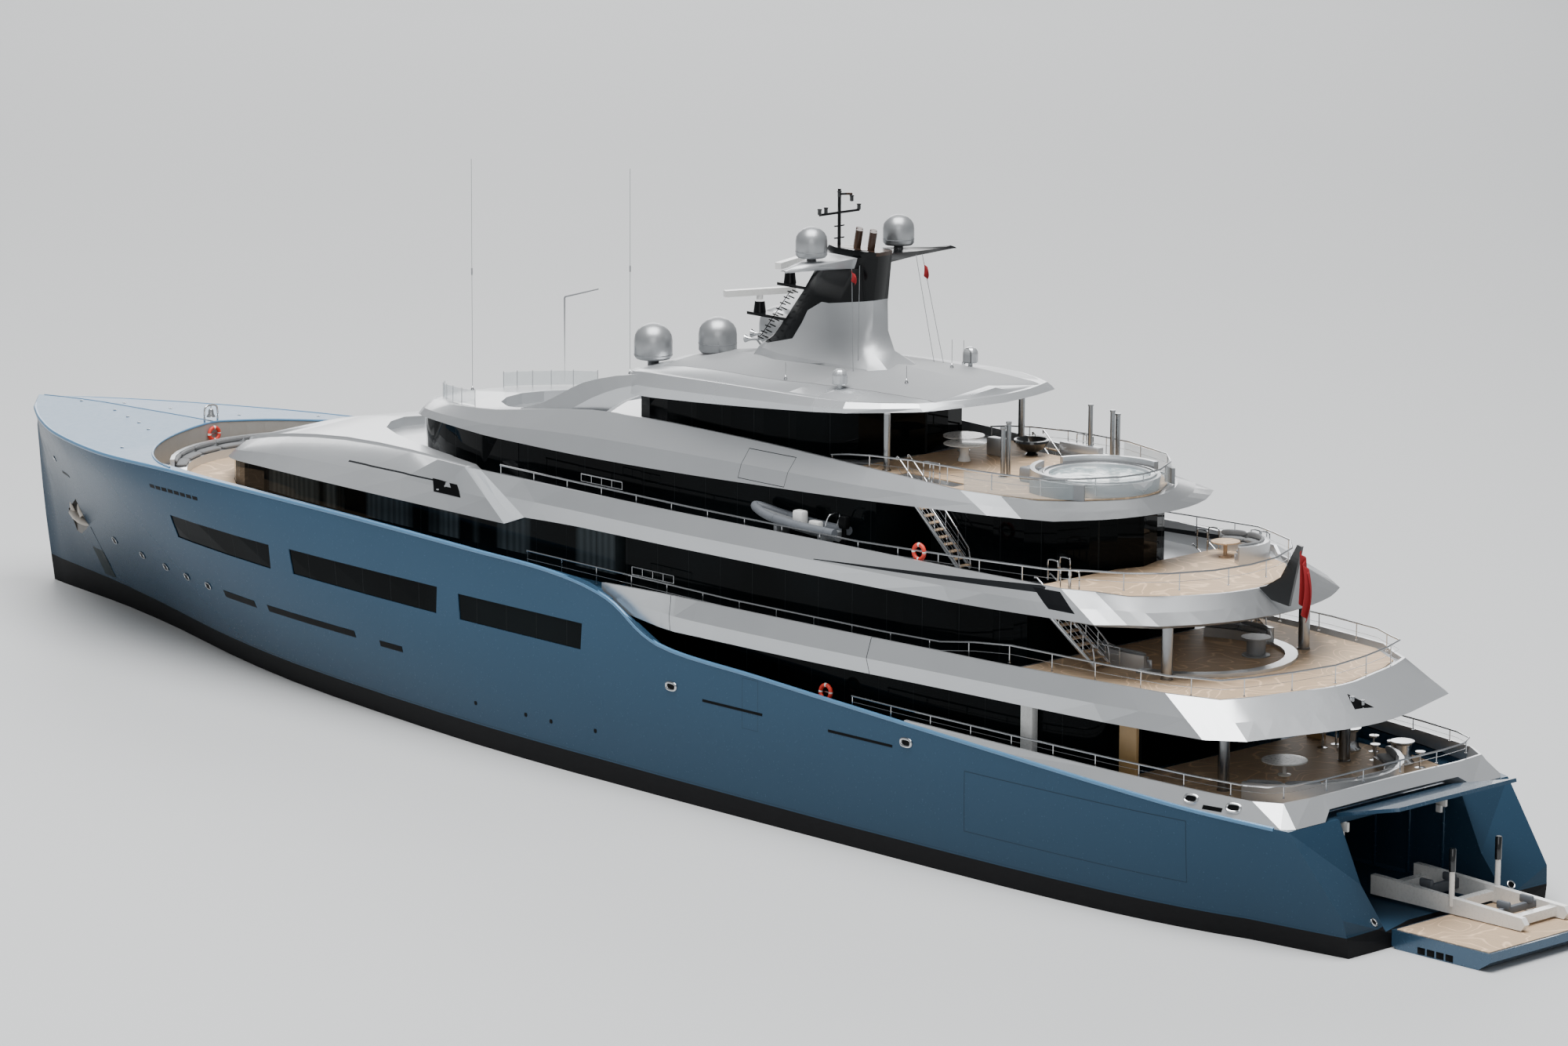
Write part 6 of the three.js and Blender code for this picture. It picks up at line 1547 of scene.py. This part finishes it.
class YACHT_OT_deck_furniture(bpy.types.Operator):
    """Drum tables, stools, pillars, gates, ladders and lights of the open decks"""

    bl_idname = "yacht.deck_furniture"
    bl_label = "Deck furniture"

    def execute(self, context):
        drum = [(0.62, 0), (0.62, 0.06), (0.5, 0.16), (0.46, 0.5), (0.5, 0.86), (0.62, 0.95),
                (0.62, 1.0), (0, 1.0)]
        stool = [(0.24, 0), (0.24, 0.03), (0.06, 0.07), (0.05, 0.62), (0.22, 0.66), (0.22, 0.74),
                 (0, 0.75)]
        floor = MAIN + TEAK
        drums = [lathe(np.array(drum) * [0.85, 1], (x, y, floor), 24)
                 for x, y in ((-40.6, -5.4), (-37.4, -5.6))]
        stools = [lathe(stool, (x, y, floor), 16) for x, y in (
            (-39.6, -5.9), (-39.5, -4.9), (-36.4, -5.9), (-36.4, -5.0), (-41.7, -5.3),
            (-38.4, -6.1))]
        piece("main_drums", drums + stools, "steel")
        sleeves = [lathe([(0.28, 0.0), (0.28, 0.05), (0.252, 0.07), (0.252, head - foot - 0.02)],
                         (x, y, foot), 28) for x, y, foot, head in (
            (-38.6, 3.9, 5.06, 8.3), (-35.7, 4.4, 9.48, 11.9))]
        sleeves.append(lathe([(0.2, 0.0), (0.2, 0.04), (0.15, 0.06), (0.15, 2.55)],
                             (-18.6, 4.3, 16.06), 24))
        piece("pillar_sleeves", both(sleeves), "dull_steel")
        piece("side_pillars", both([slab((-30.3, 6.64, 5.02), (-29.6, 7.02, 8.26), 0.04)]),
              "white", "white_paint")
        piece("aft_panels", both([slab((-35.6, 5.95, 5.07), (-34.6, 6.15, 8.2), 0.04)]),
              "tan")
        guard, z = 0.9, UPPER_AFT + TEAK
        wires = rail_parts([(-33.0, 4.4, z + guard), (-31.2, 4.4, z + guard)], guard, 0.9,
                           0.03, 0.02, 2)
        loops = []
        for x, y, z in ((-29.35, 5.15, BRIDGE_AFT), (-29.35, 4.4, BRIDGE_AFT),
                        (-31.0, 6.1, BRIDGE_AFT), (-31.5, 6.1, BRIDGE_AFT),
                        (-21.5, 4.9, SUN), (-21.9, 4.9, SUN)):
            arch = catmull([(x, y, z + 0.07), (x, y, z + 0.85), (x - 0.1, y, z + 0.98),
                            (x - 0.5, y, z + 0.98), (x - 0.6, y, z + 0.85),
                            (x - 0.6, y, z + 0.07)], 5)
            loops.append(tube(arch, 0.032, 8))
        piece("deck_gates", both(loops), "steel")
        piece("upper_guard", both(wires), "steel")
        ladders = []
        for x0, x1, y, z in ((-1.2, -4.0, 6.87, 13.75), (-5.2, -8.0, 7.35, 10.05)):
            for fall in (0.0, 0.35):
                ladders.append(tube([(x0, y, z - fall), (x1, y, z - fall)], 0.026, 8))
            spots = np.linspace((x0, y, z), (x1, y, z), 5)
            ladders.append(rods(spots, spots - [0, 0, 0.35], 0.014))
        piece("boarding_ladders", both(ladders), "steel")
        # Painted shade: a flat dark patch on the deck stands for the recess that holds the stern
        # lights.
        recess = []
        for x, y, z in ((-42.2, 0.2, 10), (-42.9, 0.5, 10), (-43.0, -0.6, 10)):
            spot, way = first_hit("upper_deck", (x, y, z), (0, 0, -1))
            recess.append(spot + way * 0.015)
        recess = np.array(recess)
        corners = np.linspace(0, 3, 19)[:-1, None]
        path = (recess[np.floor(corners[:, 0]).astype(int) % 3] * (1 - corners % 1)
                + recess[(np.floor(corners[:, 0]).astype(int) + 1) % 3] * (corners % 1))
        piece("stern_light_recess_shade", [disc(path, path.mean(0), way, 0.02)], "dark")
        lamps = [lathe([(0.09, 0), (0.09, 0.16), (0.12, 0.18), (0.12, 0.22), (0, 0.24)],
                       (x, y, on_top(x, y, "upper_deck", 10)), 14)
                 for x, y in ((-42.55, 0.25), (-42.8, -0.1))]
        piece("stern_lights", lamps, "dull_steel")
        return {"FINISHED"}


# Stage
CAMERA = {"place": (-20.6306, 19.1566, 6.7767), "heading": 43.950, "pitch": 11.535,
          "roll": 0.296, "lens": 139.7, "sensor": 36.0}


def camera_turn(heading, pitch, roll):
    """Rotation whose columns are the camera's right, up and backward directions."""
    a, p, r = (math.radians(v) for v in (heading, pitch, roll))
    ahead = Vector((math.cos(a) * math.cos(p), -math.sin(a) * math.cos(p), -math.sin(p)))
    right = Vector((-math.sin(a), -math.cos(a), 0))
    up = right.cross(ahead)
    turned = right * math.cos(r) + up * math.sin(r)
    level = up * math.cos(r) - right * math.sin(r)
    return Matrix((turned, level, -ahead)).transposed()


class YACHT_OT_stage(bpy.types.Operator):
    """Pale floor at the waterline, soft studio light and the camera"""

    bl_idname = "yacht.stage"
    bl_label = "Stage"

    def execute(self, context):
        scene = context.scene
        ring = np.linspace(0, 60, 13)
        angle = turns(48)
        flat = np.stack([ring[:, None] * np.cos(angle), ring[:, None] * np.sin(angle),
                         np.zeros((13, 48))], -1)
        verts, quads, _ = grid(flat, round_v=True)
        mesh = bpy.data.meshes.new("floor")
        mesh.from_pydata(verts.tolist(), [], quads.tolist())
        floor = bpy.data.objects.new("floor", mesh)
        scene.collection.objects.link(floor)
        f = Finish("floor_finish", metallic=0.0)
        cloud = f.noise(0.05, 2.0)
        f.put("Base Color", f.blend(cloud, (0.52, 0.53, 0.535), (0.55, 0.56, 0.565)))
        f.put("Roughness", cloud * 0.1 + 0.55)
        mesh.materials.append(f.material)

        world = bpy.data.worlds.new("studio")
        world.use_nodes = True
        back = world.node_tree.nodes["Background"]
        back.inputs[0].default_value = (0.86, 0.89, 0.92, 1)
        back.inputs[1].default_value = 0.34
        scene.world = world
        for name, spot, energy, size in (
                ("key", (-3, 3, 24), 13500, 20.0), ("fill", (-18, 17, 9), 800, 12.0),
                ("rim", (24, -22, 13), 5000, 22.0)):
            light = bpy.data.lights.new(name, "AREA")
            light.energy, light.size = energy, size
            lamp = bpy.data.objects.new(name, light)
            lamp.location = spot
            lamp.rotation_euler = (-Vector(spot)).to_track_quat("-Z", "Y").to_euler()
            scene.collection.objects.link(lamp)

        view = bpy.data.cameras.new("photo_view")
        view.lens, view.sensor_width = CAMERA["lens"], CAMERA["sensor"]
        view.clip_start, view.clip_end = 0.5, 400
        camera = bpy.data.objects.new("photo_view", view)
        turn = camera_turn(CAMERA["heading"], CAMERA["pitch"], CAMERA["roll"])
        camera.matrix_world = Matrix.Translation(CAMERA["place"]) @ turn.to_4x4()
        scene.collection.objects.link(camera)
        scene.camera = camera
        return {"FINISHED"}


class YACHT_PT_panel(bpy.types.Panel):
    """Buttons for the pieces of the yacht"""

    bl_label = "Motor yacht"
    bl_idname = "YACHT_PT_panel"
    bl_space_type = "VIEW_3D"
    bl_region_type = "UI"
    bl_category = "Yacht"

    def draw(self, context):
        for group in (context.scene.yacht_sizes, context.scene.yacht_colours):
            box = self.layout.box()
            for key in group.__annotations__:
                box.prop(group, key)
        for operator in OPERATORS:
            self.layout.operator(operator.bl_idname)


OPERATORS = (
    YACHT_OT_stage, YACHT_OT_finishes, YACHT_OT_rails, YACHT_OT_seating, YACHT_OT_stairs,
    YACHT_OT_hull_fittings, YACHT_OT_foredeck, YACHT_OT_sun_deck, YACHT_OT_mast_gear,
    YACHT_OT_safety, YACHT_OT_flags, YACHT_OT_stern, YACHT_OT_deck_furniture,
)
CLASSES = (YachtSizes, YachtColours, *OPERATORS, YACHT_PT_panel)


def register():
    for cls in CLASSES:
        bpy.utils.register_class(cls)
    bpy.types.Scene.yacht_sizes = bpy.props.PointerProperty(type=YachtSizes)
    bpy.types.Scene.yacht_colours = bpy.props.PointerProperty(type=YachtColours)


def unregister():
    del bpy.types.Scene.yacht_colours
    del bpy.types.Scene.yacht_sizes
    for cls in reversed(CLASSES):
        bpy.utils.unregister_class(cls)


def main():
    register()
    for operator in OPERATORS:
        group, name = operator.bl_idname.split(".")
        getattr(getattr(bpy.ops, group), name)()


if __name__ == "__main__":
    main()
